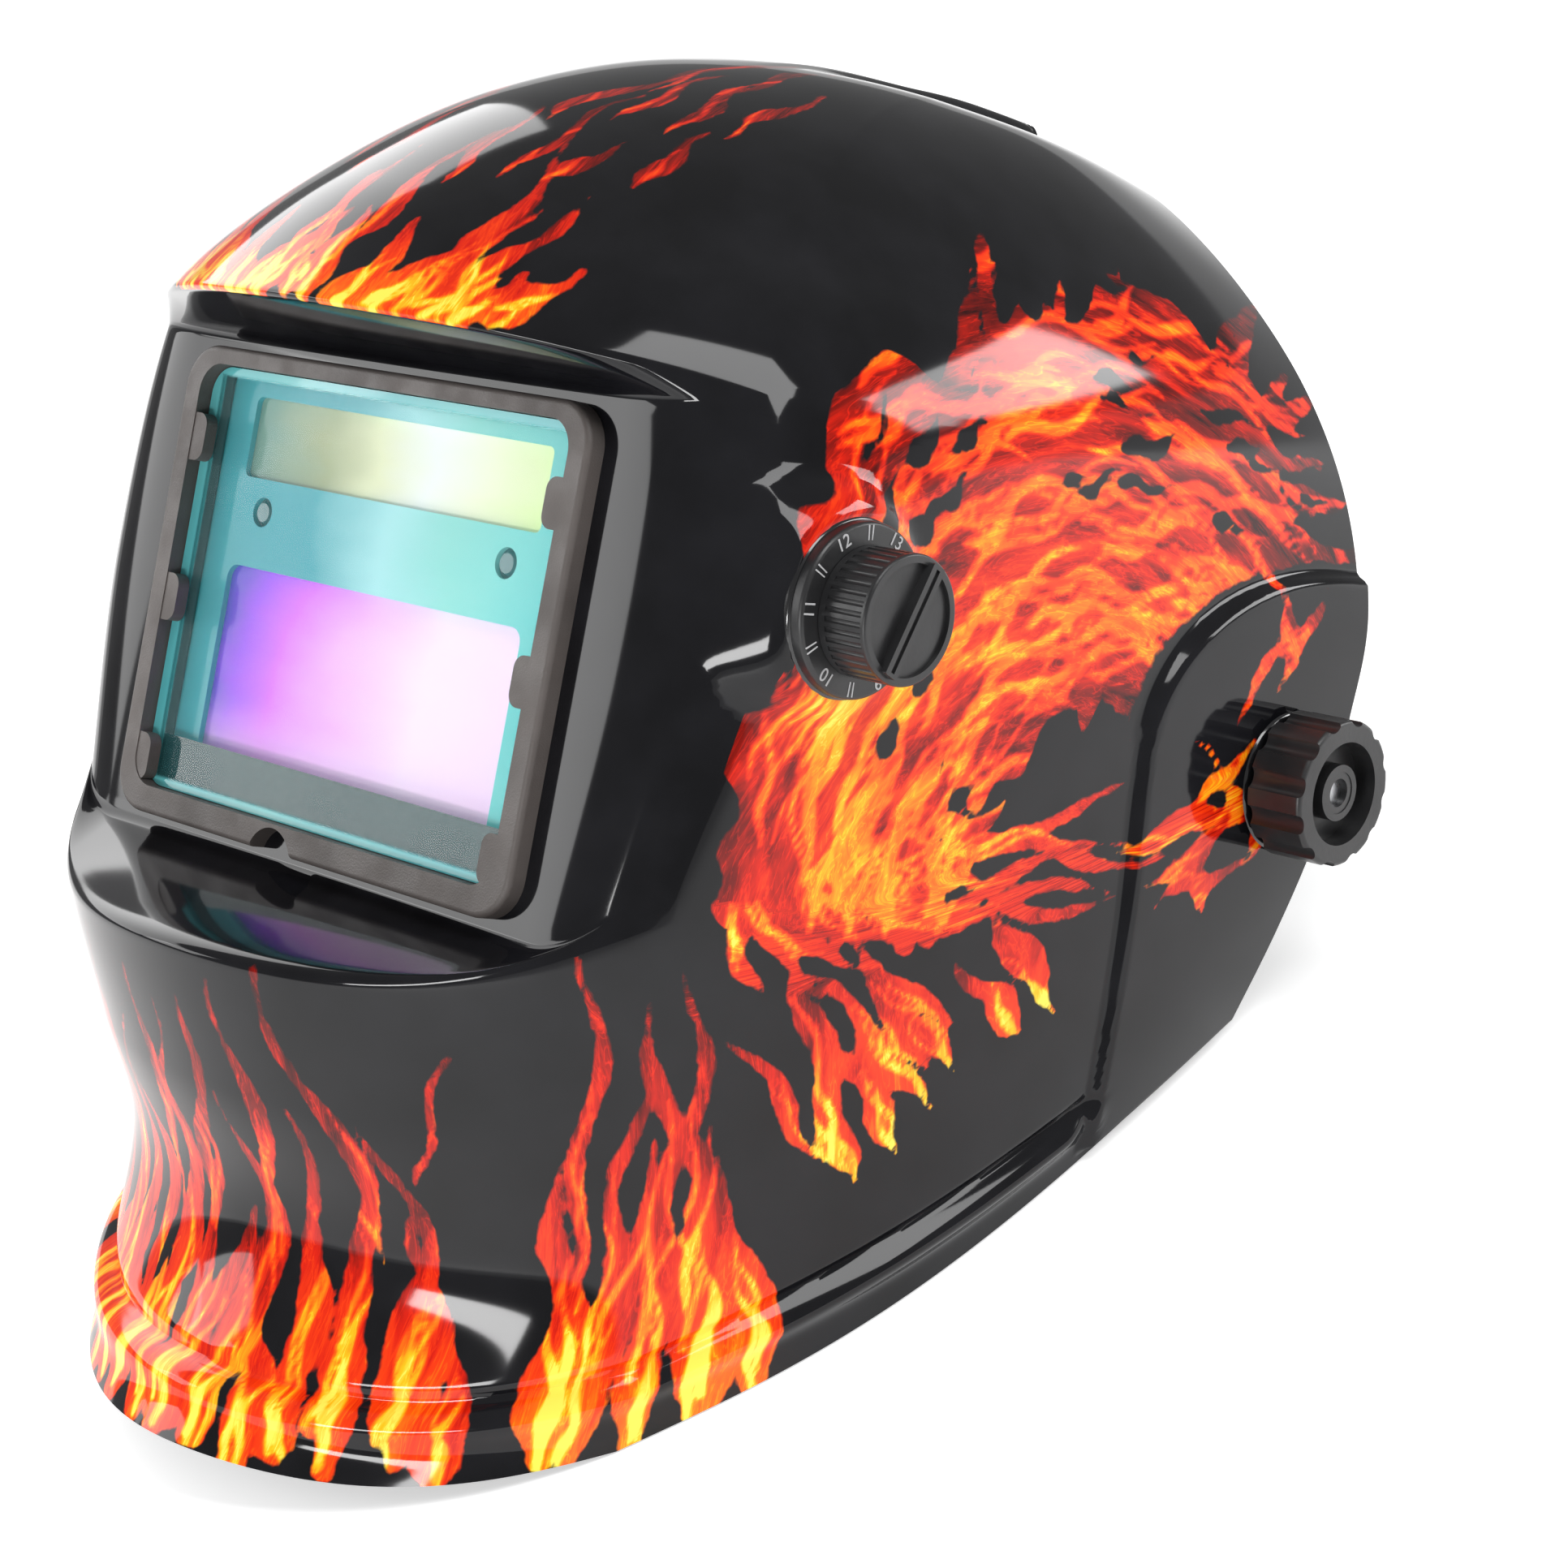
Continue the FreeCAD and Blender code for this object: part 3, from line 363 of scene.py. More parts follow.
class Flames:
    """Distance fields of flame tongues over the shell, in millimetres, negative inside a tongue."""

    def __init__(self, points, seed):
        self.points = points
        self.folded = points * np.where(points[:, :1] < 0, (-1, 1, 1), (1, 1, 1))
        count = len(points)
        self.edge, self.strand, self.hole = np.full((3, count), FAR)
        self.heat, self.weight = np.full((2, count), 1e-6)
        self.rng = np.random.default_rng(seed)

    def paint(self, layer, spine, radii, heat=(1.0, 0.3), paired=True, side=False):
        """One tongue along spine. paired repeats it on the other side; side measures across Y and Z only."""
        cloud = self.folded if paired else self.points
        reach = radii.max() + 9
        low, high = spine.min(0) - reach, spine.max(0) + reach
        if side:
            low[0], high[0] = 38, 200
        near = np.flatnonzero(np.all((cloud > low) & (cloud < high), axis=1))
        if len(near) == 0:
            return
        scale = (0, 1, 1) if side else (1, 1, 1)
        q = (cloud[near] * scale)[:, None, :]
        a, b = (spine * scale)[:-1], (spine * scale)[1:]
        ab = b - a
        s = np.clip(((q - a) * ab).sum(-1) / np.maximum((ab * ab).sum(-1), 1e-9), 0, 1)
        gap = np.linalg.norm(q - a - s[..., None] * ab, axis=-1) - (radii[:-1] + s * (radii[1:] - radii[:-1]))
        best = gap.argmin(1)
        pick = np.arange(len(near))
        gap, along = gap[pick, best], (best + s[pick, best]) / len(a)
        field = getattr(self, layer)
        field[near] = np.minimum(field[near], gap)
        if layer == "edge":
            w = np.exp(-np.clip(gap, -8, 20) / 2.2)
            self.weight[near] += w
            self.heat[near] += w * (heat[0] + (heat[1] - heat[0]) * along)

    def tongue_radii(self, width):
        """Half widths from a rounded root to a pointed tip, with a slight neck."""
        s = np.linspace(0, 1, SPINE_POINTS)
        neck = 1 + 0.22 * np.sin(2 * pi * (1.6 * s + self.rng.random()))
        return 0.5 * width * (1 - s) ** 0.85 * (0.45 + 0.55 * smooth(0, 0.22, s)) * neck

    def wave(self, length):
        """Sideways offsets of a spine in millimetres: one curl and a ripple that grow to the tip."""
        s = np.linspace(0, 1, SPINE_POINTS)
        curl = self.rng.uniform(-0.16, 0.16) * length * s ** 1.6
        ripple = 0.045 * length * np.sin(2 * pi * (1.3 * s + self.rng.random())) * smooth(0, 0.3, s)
        return curl + ripple


def on_shell(near_outer, u, t):
    """Points of the finished outer face at sections u and signed t."""
    i = np.clip(np.interp(u, U, np.arange(len(U))), 0, len(U) - 1.001)
    j = np.clip(np.interp(np.abs(t), T, np.arange(len(T))), 0, len(T) - 1.001)
    i0, j0 = i.astype(int), j.astype(int)
    fi, fj = (i - i0)[:, None], (j - j0)[:, None]
    p = (1 - fi) * ((1 - fj) * near_outer[i0, j0] + fj * near_outer[i0, j0 + 1])
    p = p + fi * ((1 - fj) * near_outer[i0 + 1, j0] + fj * near_outer[i0 + 1, j0 + 1])
    return p * np.where(t[:, None] < 0, (-1, 1, 1), (1, 1, 1))


def spine_on_shell(flames, near_outer, base, tip):
    """Waving line over the shell between two (u, t) places."""
    s = np.linspace(0, 1, SPINE_POINTS)
    u = base[0] + (tip[0] - base[0]) * s
    t = base[1] + (tip[1] - base[1]) * s
    um, tm, du, dt = u[SPINE_POINTS // 2], t[SPINE_POINTS // 2], 0.1, 0.02
    mid = on_shell(near_outer, np.array([um, um + du, um]), np.array([tm, tm, tm + dt]))
    per_u, per_t = np.linalg.norm(mid[1] - mid[0]) / du, np.linalg.norm(mid[2] - mid[0]) / dt
    run_u, run_t = (tip[0] - base[0]) * per_u, (tip[1] - base[1]) * per_t
    length = max(1.0, sqrt(run_u ** 2 + run_t ** 2))
    offset = flames.wave(length)
    return on_shell(near_outer, np.clip(u - offset * run_t / length / per_u, 0, 9.99),
                    t + offset * run_u / length / per_t)


# Rows of tongues over the front and the lower sides: (how many, first root, last root, first tip,
# last tip, width, heat at root, heat at tip, on both sides), each place as (section, t).
TONGUES = [
    (13, (0.0, -0.36), (0.0, 0.36), (1.05, -0.30), (1.05, 0.30), 15, 0.84, 0.36, False),
    (9, (0.2, -0.30), (0.2, 0.30), (2.0, -0.27), (2.0, 0.27), 11, 0.72, 0.22, False),
    (5, (0.9, -0.26), (0.9, 0.24), (2.85, -0.20), (2.85, 0.20), 7, 0.45, 0.18, False),
    (4, (1.5, -0.30), (1.5, 0.32), (2.3, -0.27), (2.3, 0.35), 4.5, 0.62, 0.25, False),
    (5, (0.02, 0.37), (0.1, 0.66), (1.3, 0.37), (1.5, 0.60), 13, 0.98, 0.30, True),
    (3, (0.4, 0.43), (0.5, 0.56), (2.1, 0.46), (2.7, 0.52), 9, 0.62, 0.20, True),
    (1, (0.9, 0.41), (0.9, 0.41), (3.05, 0.45), (3.05, 0.45), 7, 0.50, 0.25, True),
    (6, (0.9, 0.66), (1.75, 0.86), (2.1, 0.60), (2.6, 0.80), 12, 0.92, 0.35, True),
    (4, (1.2, 0.62), (1.9, 0.78), (2.6, 0.56), (2.8, 0.70), 8, 0.85, 0.25, True),
    (5, (2.95, 0.62), (3.15, 0.72), (2.35, 0.86), (3.0, 0.91), 9, 0.80, 0.40, True),
    (5, (3.0, 0.55), (3.1, 0.70), (2.2, 0.60), (2.5, 0.76), 8, 0.95, 0.45, True),
    (6, (5.0, 0.08), (5.0, 0.25), (5.65, 0.12), (5.75, 0.31), 10, 1.0, 0.50, True),
    (3, (5.1, 0.12), (5.1, 0.24), (6.15, 0.16), (6.3, 0.30), 8, 0.72, 0.25, True),
    (5, (5.0, -0.10), (5.0, 0.05), (5.7, -0.07), (5.75, 0.04), 11, 1.0, 0.48, False),
    (3, (5.3, -0.06), (5.3, 0.04), (6.3, -0.05), (6.4, 0.05), 7, 0.62, 0.25, False),
    (4, (6.0, 0.05), (6.2, 0.34), (6.9, 0.07), (7.0, 0.36), 6, 0.42, 0.20, True),
    (4, (6.6, 0.05), (6.7, 0.40), (7.5, 0.09), (7.5, 0.45), 6, 0.36, 0.16, True),
    (2, (7.0, 0.12), (7.2, 0.30), (8.0, 0.15), (8.1, 0.34), 5, 0.32, 0.15, True),
    (3, (3.30, 0.90), (3.6, 0.97), (4.1, 0.93), (4.3, 0.985), 7, 0.75, 0.25, True),
    (3, (1.6, 0.93), (2.4, 0.97), (2.6, 0.90), (3.2, 0.95), 7, 0.85, 0.30, True),
    (4, (1.9, 0.89), (2.9, 0.90), (2.0, 0.96), (3.1, 0.97), 8, 0.70, 0.35, True),
]
SWIRL_Y, SWIRL_Z = 100.0, -38.0   # the side's mass of flame sweeps round this point
RIM_TONGUES, MASS_TONGUES, STRANDS, HOLES = 38, 150, 210, 30


def paint_front(flames, near_outer):
    """The listed rows of tongues, each with one or two bright strands."""
    for count, root0, root1, tip0, tip1, width, hot, cool, paired in TONGUES:
        for k in range(count):
            f = (k + 0.5) / count
            jitter = flames.rng.normal(0, 1, 4) * (0.06, 0.012, 0.22, 0.018)
            root = [a + (b - a) * f for a, b in zip(root0, root1)]
            tip = [a + (b - a) * f for a, b in zip(tip0, tip1)]
            root = (max(0, root[0] + jitter[0]), min(0.99, root[1] + jitter[1]))
            tip = (tip[0] + jitter[2], min(0.99, tip[1] + jitter[3]))
            spine = spine_on_shell(flames, near_outer, root, tip)
            girth = width * flames.rng.uniform(0.75, 1.25)
            radii = flames.tongue_radii(girth)
            if root[0] > 0.5 and not 4.9 < root[0] < 5.2:
                radii = radii * smooth(-0.1, 0.5, np.linspace(0, 1, len(radii)))
            flames.paint("edge", spine, radii, (hot, cool), paired)
            for _ in range(2 if width > 6 else 1):
                shift = flames.rng.normal(0, 1, 2) * (0.05, 0.006)
                inner = spine_on_shell(flames, near_outer, (max(0, root[0] + shift[0]), root[1] + shift[1]),
                                       (0.35 * root[0] + 0.65 * tip[0], 0.35 * root[1] + 0.65 * tip[1]))
                flames.paint("strand", inner, flames.tongue_radii(0.24 * girth), paired=paired)


def side_outline(angle):
    """How far the side's flame mass reaches from the swirl point in that direction."""
    return np.interp(angle, (40, 57, 63, 67, 74, 81, 96, 109, 119, 127, 136, 152, 175, 182, 200),
                     (96, 129, 140, 152, 160, 157, 146, 136, 133, 128, 118, 99, 87, 80, 52))


def sweep(flames, angle, radius, turn, growth):
    """Line that curves round the swirl point, as X, Y, Z with X unused."""
    s = np.linspace(0, 1, SPINE_POINTS)
    a = np.radians(angle - turn * s)
    r = radius + growth * s ** 1.4 + flames.wave(radians(turn) * radius + growth)
    return np.stack([0 * s, SWIRL_Y + r * np.cos(a), SWIRL_Z + r * np.sin(a)], -1)


def side_heat(spine):
    """The mass is hottest low at the front and cools to the back and top."""
    y, z = spine[0, 1], spine[0, 2]
    glow = 0.45 * np.exp(-((y - 36) ** 2 + (z + 8) ** 2) / 1300)
    return 0.25 + glow + 0.12 * np.sin(y / 19) * np.cos(z / 15)


def paint_side(flames):
    """The mass of flame on both sides: its body, tongues on its rim and inside it, strands and holes."""
    rng = flames.rng
    y, z = flames.folded[:, 1], flames.folded[:, 2]
    angle = np.degrees(np.arctan2(z - SWIRL_Z, y - SWIRL_Y)) % 360
    radius = np.hypot(y - SWIRL_Y, z - SWIRL_Z)
    ripple = 3.0 * np.sin(angle / 3.1) + 2.0 * np.sin(angle / 1.7 + 1)
    fill = 0.85 + 0.10 * smooth(112, 128, angle)
    mass = np.maximum(radius - fill * side_outline(angle) - ripple, 47 + ripple - radius)
    mass = np.maximum(mass, np.maximum(52 - angle, angle - 184) * 1.6)
    mass = np.where((flames.folded[:, 0] > 40) & (angle < 210), mass, FAR)
    flames.edge = np.minimum(flames.edge, mass)
    flames.weight += np.exp(-np.clip(mass, -3, 20) / 2.2)
    flames.heat += 0.28 * np.exp(-np.clip(mass, -3, 20) / 2.2)
    for k in range(RIM_TONGUES):
        at = 54 + 126 * (k + rng.random()) / RIM_TONGUES
        reach = side_outline(at)
        spine = sweep(flames, at, 0.70 * reach, rng.uniform(8, 20), reach * rng.uniform(0.16, 0.30))
        hot = side_heat(spine) - 0.10
        radii = flames.tongue_radii(rng.uniform(9, 18))
        flames.paint("edge", spine, radii, (hot + 0.1, hot - 0.1), side=True)
    for _ in range(MASS_TONGUES):
        at = rng.uniform(52, 186)
        low = rng.uniform(0.32, 0.88) * side_outline(at)
        spine = sweep(flames, at, low, rng.uniform(9, 26) * 100 / max(60, low), rng.uniform(0, 16))
        hot = side_heat(spine) + rng.normal(0, 0.16)
        flames.paint("edge", spine, flames.tongue_radii(rng.uniform(5, 11)), (hot, 0.7 * hot), side=True)
    for _ in range(STRANDS):
        at = rng.uniform(50, 186)
        low = side_outline(at) * rng.uniform(0.34, 0.95)
        spine = sweep(flames, at, low, rng.uniform(10, 30) * 100 / max(60, low), rng.uniform(-4, 14))
        s = np.linspace(0, 1, SPINE_POINTS)
        girth = rng.uniform(0.5, 1.7) * np.sin(pi * s ** 0.8) ** 0.9
        flames.paint("strand", spine, girth, side=True)
    for _ in range(HOLES):
        at = rng.uniform(52, 150)
        low = side_outline(at) * rng.uniform(0.55, 0.92)
        spine = sweep(flames, at, low, rng.uniform(4, 12), rng.uniform(0, 9))
        flames.paint("hole", spine, flames.tongue_radii(rng.uniform(3.5, 8)), side=True)
    panel = panel_depth(y, z)
    flames.edge = np.where((y > 90) & (angle < 100), np.maximum(flames.edge, panel + 3.0), flames.edge)


def store(mesh, name, values, kind="FLOAT"):
    """Keeps values as an attribute of the mesh's vertices."""
    attribute = mesh.attributes.new(name, kind, "POINT")
    key = "vector" if kind == "FLOAT_VECTOR" else "value"
    attribute.data.foreach_set(key, np.asarray(values, np.float32).ravel())


def add_artwork(obj, outer, near_outer):
    """Stores the artwork's fields on the outer face's vertices."""
    points = outer.reshape(-1, 3)
    flames = Flames(points, 11)
    paint_side(flames)
    paint_front(flames, near_outer)
    total = len(obj.data.vertices)

    def filled(values, rest):
        block = np.full((total,) + np.shape(values)[1:], rest, float)
        block[:len(values)] = values
        return block

    y, z = flames.folded[:, 1] - SWIRL_Y, flames.folded[:, 2] - SWIRL_Z
    angle, radius = np.arctan2(z, y), np.hypot(y, z)
    u = np.repeat(U, outer.shape[1])
    t = np.tile(T_BOTH, len(U))
    swirl = smooth(0.40, 0.52, np.abs(t)) * smooth(2.4, 2.9, u)
    across = (1 - swirl) * t * 190 + swirl * radius
    along = (1 - swirl) * u * 34 + swirl * angle * 95
    flow = np.stack([across, along, 0 * u], -1)
    pocket = (u > LEDGE - 0.02) & (u < BROW) & (np.abs(t) < CREASE)
    gap = np.where(pocket, FAR, np.maximum(flames.edge, -flames.hole - 0.5))
    store(obj.data, "tongue_gap", filled(gap, FAR))
    store(obj.data, "strand_gap", filled(flames.strand, FAR))
    store(obj.data, "tongue_heat", filled(flames.heat / flames.weight, 0))
    store(obj.data, "tongue_flow", filled(flow, 0), "FLOAT_VECTOR")
    store(obj.data, "design_place", filled(points, 0), "FLOAT_VECTOR")


# ---------------------------------------------------------------- materials
class Paint:
    """One node material, with a method for each kind of node it uses."""

    def __init__(self, name, **settings):
        self.material = bpy.data.materials.new(name)
        self.material.use_nodes = True
        self.tree = self.material.node_tree
        self.shader = self.tree.nodes["Principled BSDF"]
        for socket, value in settings.items():
            self.shader.inputs[socket.replace("_", " ")].default_value = value

    def feed(self, socket, value):
        if isinstance(value, bpy.types.NodeSocket):
            self.tree.links.new(value, socket)
        elif value is not None:
            socket.default_value = value

    def add(self, kind, *values, out=0, **props):
        node = self.tree.nodes.new(kind)
        for key, value in props.items():
            setattr(node, key, value)
        for socket, value in zip(node.inputs, values):
            self.feed(socket, value)
        return node.outputs[out]

    def math(self, operation, a, b=None):
        return self.add("ShaderNodeMath", a, b, operation=operation)

    def place(self):
        return self.add("ShaderNodeTexCoord", out=3)

    def stored(self, name, vector=False):
        return self.add("ShaderNodeAttribute", out=1 if vector else 2, attribute_name=name)

    def scaled(self, vector, scale, location=(0, 0, 0), rotation=(0, 0, 0)):
        return self.add("ShaderNodeMapping", vector, location, rotation, scale)

    def axes(self, vector):
        node = self.tree.nodes.new("ShaderNodeSeparateXYZ")
        self.feed(node.inputs[0], vector)
        return node.outputs

    def noise(self, vector, scale, detail=2.0, roughness=0.5, distortion=0.0):
        node = self.tree.nodes.new("ShaderNodeTexNoise")
        for key, value in (("Vector", vector), ("Scale", scale), ("Detail", detail),
                           ("Roughness", roughness), ("Distortion", distortion)):
            self.feed(node.inputs[key], value)
        return node.outputs["Fac"]

    def span(self, value, low, high, to_low=0.0, to_high=1.0, kind="SMOOTHSTEP"):
        return self.add("ShaderNodeMapRange", value, low, high, to_low, to_high, interpolation_type=kind)

    def ramp(self, fac, *stops):
        node = self.tree.nodes.new("ShaderNodeValToRGB")
        self.feed(node.inputs[0], fac)
        while len(node.color_ramp.elements) < len(stops):
            node.color_ramp.elements.new(0.5)
        for element, (at, color) in zip(node.color_ramp.elements, stops):
            element.position = at
            element.color = (*color, 1)
        return node.outputs[0]

    def mix(self, fac, a, b, blend="MIX"):
        node = self.tree.nodes.new("ShaderNodeMix")
        node.data_type, node.blend_type = "RGBA", blend
        for index, value in ((0, fac), (6, a), (7, b)):
            self.feed(node.inputs[index], (*value, 1) if isinstance(value, tuple) else value)
        return node.outputs[2]

    def bump(self, height, distance, strength=1.0):
        node = self.tree.nodes.new("ShaderNodeBump")
        for key, value in (("Height", height), ("Distance", distance), ("Strength", strength)):
            self.feed(node.inputs[key], value)
        self.set("Normal", node.outputs[0])

    def set(self, socket, value):
        self.feed(self.shader.inputs[socket], value)


def artwork_material():
    """Black ground under clear gloss, with flames that run from dark red to yellow as they get hotter."""
    paint = Paint("shell_artwork", Roughness=0.5, Specular_IOR_Level=0.0, Coat_Weight=1.0,
                  Coat_Roughness=0.07, Coat_IOR=1.4)
    design, flow = paint.stored("design_place", True), paint.stored("tongue_flow", True)
    wobble = paint.noise(design, 0.11, 3, 0.6)
    edge = paint.add("ShaderNodeMath", wobble, -3.6, paint.stored("tongue_gap"), operation="MULTIPLY_ADD")
    edge = paint.math("ADD", edge, 1.8)
    inside = paint.span(edge, 0.35, -0.35)
    deep = paint.span(edge, 0.0, -6.5)
    streak = paint.noise(paint.scaled(flow, (0.15, 0.028, 1)), 1.0, 5, 0.62, 1.1)
    wisps = paint.noise(paint.scaled(flow, (0.42, 0.06, 1)), 1.0, 3, 0.55, 1.6)
    lines = paint.span(paint.math("ABSOLUTE", paint.math("SUBTRACT", wisps, 0.5)), 0.045, 0.0)
    strand = paint.math("ADD", paint.stored("strand_gap"), paint.math("MULTIPLY", wobble, 0.8))
    core = paint.span(strand, 1.1, -0.2)
    heat = paint.math("MULTIPLY", paint.stored("tongue_heat"), 0.62)
    heat = paint.add("ShaderNodeMath", deep, 0.07, heat, operation="MULTIPLY_ADD")
    heat = paint.add("ShaderNodeMath", paint.math("SUBTRACT", streak, 0.5), 0.95, heat,
                     operation="MULTIPLY_ADD")
    heat = paint.add("ShaderNodeMath", lines, 0.10, heat, operation="MULTIPLY_ADD")
    heat = paint.add("ShaderNodeMath", core, 0.40, heat, operation="MULTIPLY_ADD")
    color = paint.ramp(heat, (0.0, (0.02, 0.0, 0.0)), (0.18, (0.22, 0.004, 0.001)),
                       (0.34, (0.66, 0.012, 0.002)), (0.54, (0.90, 0.05, 0.003)), (0.72, (1.0, 0.20, 0.004)),
                       (0.88, (1.0, 0.52, 0.010)), (1.0, (1.0, 0.82, 0.10)))
    ground = paint.ramp(paint.noise(design, 0.05, 4), (0.35, (0.004, 0.004, 0.005)),
                        (0.7, (0.009, 0.009, 0.011)))
    paint.set("Base Color", paint.mix(inside, ground, color))
    paint.bump(paint.noise(design, 0.035, 1), 0.0004, 0.12)
    return paint.material


def plastic(name, dark, light, grain=900, roughness=(0.32, 0.5), bump=0.00005, **settings):
    """Moulded plastic: a little uneven in colour and gloss, with a fine grain."""
    paint = Paint(name, **settings)
    place = paint.place()
    cloud = paint.noise(place, 38, 4, 0.6)
    paint.set("Base Color", paint.ramp(cloud, (0.3, dark), (0.7, light)))
    paint.set("Roughness", paint.span(paint.noise(place, 120, 3), 0.3, 0.7, *roughness))
    paint.bump(paint.noise(place, grain, 2, 0.6), bump, 0.6)
    return paint.material


def metal(name, dark, light):
    """Turned or plated metal with fine scratches."""
    paint = Paint(name, Metallic=1.0)
    place = paint.place()
    scratch = paint.noise(paint.scaled(place, (300, 2600, 300)), 1.0, 3, 0.6)
    paint.set("Base Color", paint.ramp(scratch, (0.3, dark), (0.7, light)))
    paint.set("Roughness", paint.span(paint.noise(place, 160, 3), 0.3, 0.7, 0.22, 0.42))
    paint.bump(scratch, 0.00002, 0.5)
    return paint.material


def level(paint):
    """Design coordinates in millimetres from the row frame."""
    back = Matrix.Rotation(STAND_TILT, 3, "X")
    return paint.scaled(paint.place(), (1 / MM,) * 3, tuple(back @ SHIFT * (-1 / MM)), (STAND_TILT, 0, 0))


BAND_WAVER = 28.0             # how far the colour bands, coating tints and painted reflections alike, wander, in millimetres


def tinted_panel(name, stops, foot, foot_color, **settings):
    """Coated glass or foil whose colour runs across the window, paler or darker at its foot. A pale band
    among the stops is a painted reflection.
    """
    paint = Paint(name, **settings)
    place = level(paint)
    x, y, z = paint.axes(place)
    cloud = paint.noise(paint.scaled(place, (0.02, 0.02, 0.05)), 1.0, 3, 0.55)
    shifted = paint.add("ShaderNodeMath", paint.math("SUBTRACT", cloud, 0.5), BAND_WAVER, x,
                        operation="MULTIPLY_ADD")
    shifted = paint.add("ShaderNodeMath", z, -0.10, shifted, operation="MULTIPLY_ADD")
    color = paint.ramp(paint.span(shifted, -58, 58, kind="LINEAR"), *stops)
    color = paint.mix(paint.span(z, foot[0], foot[1]), color, foot_color)
    paint.set("Base Color", color)
    paint.set("Roughness", paint.span(paint.noise(place, 0.6, 3), 0.3, 0.7, 0.07, 0.13))
    return paint.material


def cover_material():
    """Clear film: a pale teal tint, dense in the sealed border round its edge."""
    paint = Paint("clear_cover", Roughness=0.04, Specular_IOR_Level=0.5)
    place = level(paint)
    x, y, z = paint.axes(place)
    border = paint.math("MAXIMUM", paint.span(paint.math("ABSOLUTE", x), 54.2, 55.2),
                        paint.span(paint.math("ABSOLUTE", z), 42.2, 43.2))
    cloud = paint.noise(paint.scaled(place, (0.03, 0.03, 0.03)), 1.0, 3)
    paint.set("Base Color", paint.ramp(cloud, (0.3, (0.10, 0.50, 0.54)), (0.7, (0.18, 0.62, 0.62))))
    paint.set("Alpha", paint.math("ADD", paint.math("MULTIPLY", border, 0.70), 0.06))
    return paint.material


def fabric(name):
    """Dark woven cloth, with painted shade in the gaps between the threads."""
    dark, light, thread = (0.030, 0.031, 0.034), (0.06, 0.062, 0.066), 480.0
    paint = Paint(name, Sheen_Weight=0.35, Sheen_Roughness=0.5, Roughness=0.92)
    place = paint.place()
    warp = paint.add("ShaderNodeTexWave", place, thread, 1.2, 2.0, 1.5, out=1, bands_direction="X")
    weft = paint.add("ShaderNodeTexWave", place, thread, 1.2, 2.0, 1.5, out=1, bands_direction="Z")
    weave = paint.math("MULTIPLY", warp, weft)
    cloud = paint.noise(place, 60, 4, 0.6)
    color = paint.ramp(cloud, (0.3, dark), (0.7, light))
    # painted shade: the weave's gaps are darkened where the threads dip
    shade = paint.ramp(weave, (0.0, (0.55, 0.55, 0.55)), (1.0, (1, 1, 1)))
    paint.set("Base Color", paint.mix(1.0, color, shade, "MULTIPLY"))
    paint.bump(paint.math("ADD", weave, paint.noise(place, 2400, 2)), 0.00018, 0.7)
    return paint.material


def assign(material, *nodes):
    """Gives CAD nodes this material."""
    for name in nodes:
        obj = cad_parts[name]
        obj.data.materials.clear()
        obj.data.materials.append(material)


# ---------------------------------------------------------------- shell skin
shell, outer_grid = build_shell()
near_grid = outer_grid[:, len(T) - 1:]
add_artwork(shell, outer_grid, near_grid)
shell.data.materials.append(artwork_material())
shell.data.materials.append(plastic("shell_inside", (0.010, 0.010, 0.011), (0.018, 0.018, 0.019), 500,
                                    (0.45, 0.6)))
sides = [0 if max(p.vertices) < len(U) * len(T_BOTH) else 1 for p in shell.data.polygons]
shell.data.polygons.foreach_set("material_index", sides)
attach(shell, "mask")
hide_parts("shell")

# ---------------------------------------------------------------- finishes of the CAD pieces
gloss_black = plastic("moulded_gloss_black", (0.006, 0.006, 0.007), (0.012, 0.012, 0.013), 300, (0.12, 0.2),
                      0.00002, Coat_Weight=0.6, Coat_Roughness=0.05)
satin_black = plastic("moulded_satin_black", (0.010, 0.010, 0.011), (0.022, 0.022, 0.023), 700,
                      (0.28, 0.42))
grained = plastic("grained_warm_grey", (0.070, 0.060, 0.056), (0.105, 0.090, 0.084), 2600,
                  (0.42, 0.6), 0.00012)
band_grey = plastic("band_dark_grey", (0.020, 0.021, 0.023), (0.036, 0.037, 0.040), 500, (0.4, 0.55))
steel = metal("zinc_plated_steel", (0.42, 0.43, 0.45), (0.62, 0.63, 0.65))
brass = metal("turned_brass", (0.50, 0.33, 0.12), (0.72, 0.52, 0.22))
assign(grained, "cover_lens_frame")
assign(satin_black, "cartridge_holder", "cartridge_retainer", "shade_dial", "shade_knob",
       "sensitivity_knob", "delay_knob", "tension_knob_left", "tension_knob_right", "knob_insert_left",
       "knob_insert_right", "ratchet_knob", "ratchet_pinion", "shade_cable")
assign(band_grey, "headband", "crown_strap", "pivot_arm_left", "pivot_arm_right", "ratchet_housing",
       "ratchet_plate", "size_rack_left", "size_rack_right", "friction_washer_left", "friction_washer_right")
assign(plastic("nylon_washer", (0.012, 0.012, 0.012), (0.03, 0.03, 0.03), 900, (0.5, 0.6)),
       "pivot_washer_left", "pivot_washer_right")
assign(plastic("rivet_nylon", (0.010, 0.010, 0.011), (0.02, 0.02, 0.022), 400, (0.25, 0.4)), "arm_rivets",
       "crown_rivets")
assign(steel, "retainer_screws", "pivot_bolt_left", "pivot_bolt_right", "shade_nut", "shade_shaft",
       "shade_potentiometer")
assign(brass, "battery_cells")
assign(plastic("circuit_green", (0.006, 0.05, 0.02), (0.01, 0.09, 0.035), 1500, (0.35, 0.5)), "circuit_board")
assign(plastic("sensor_lens", (0.03, 0.10, 0.11), (0.05, 0.16, 0.17), 300, (0.05, 0.1), 0.0), "arc_sensors")
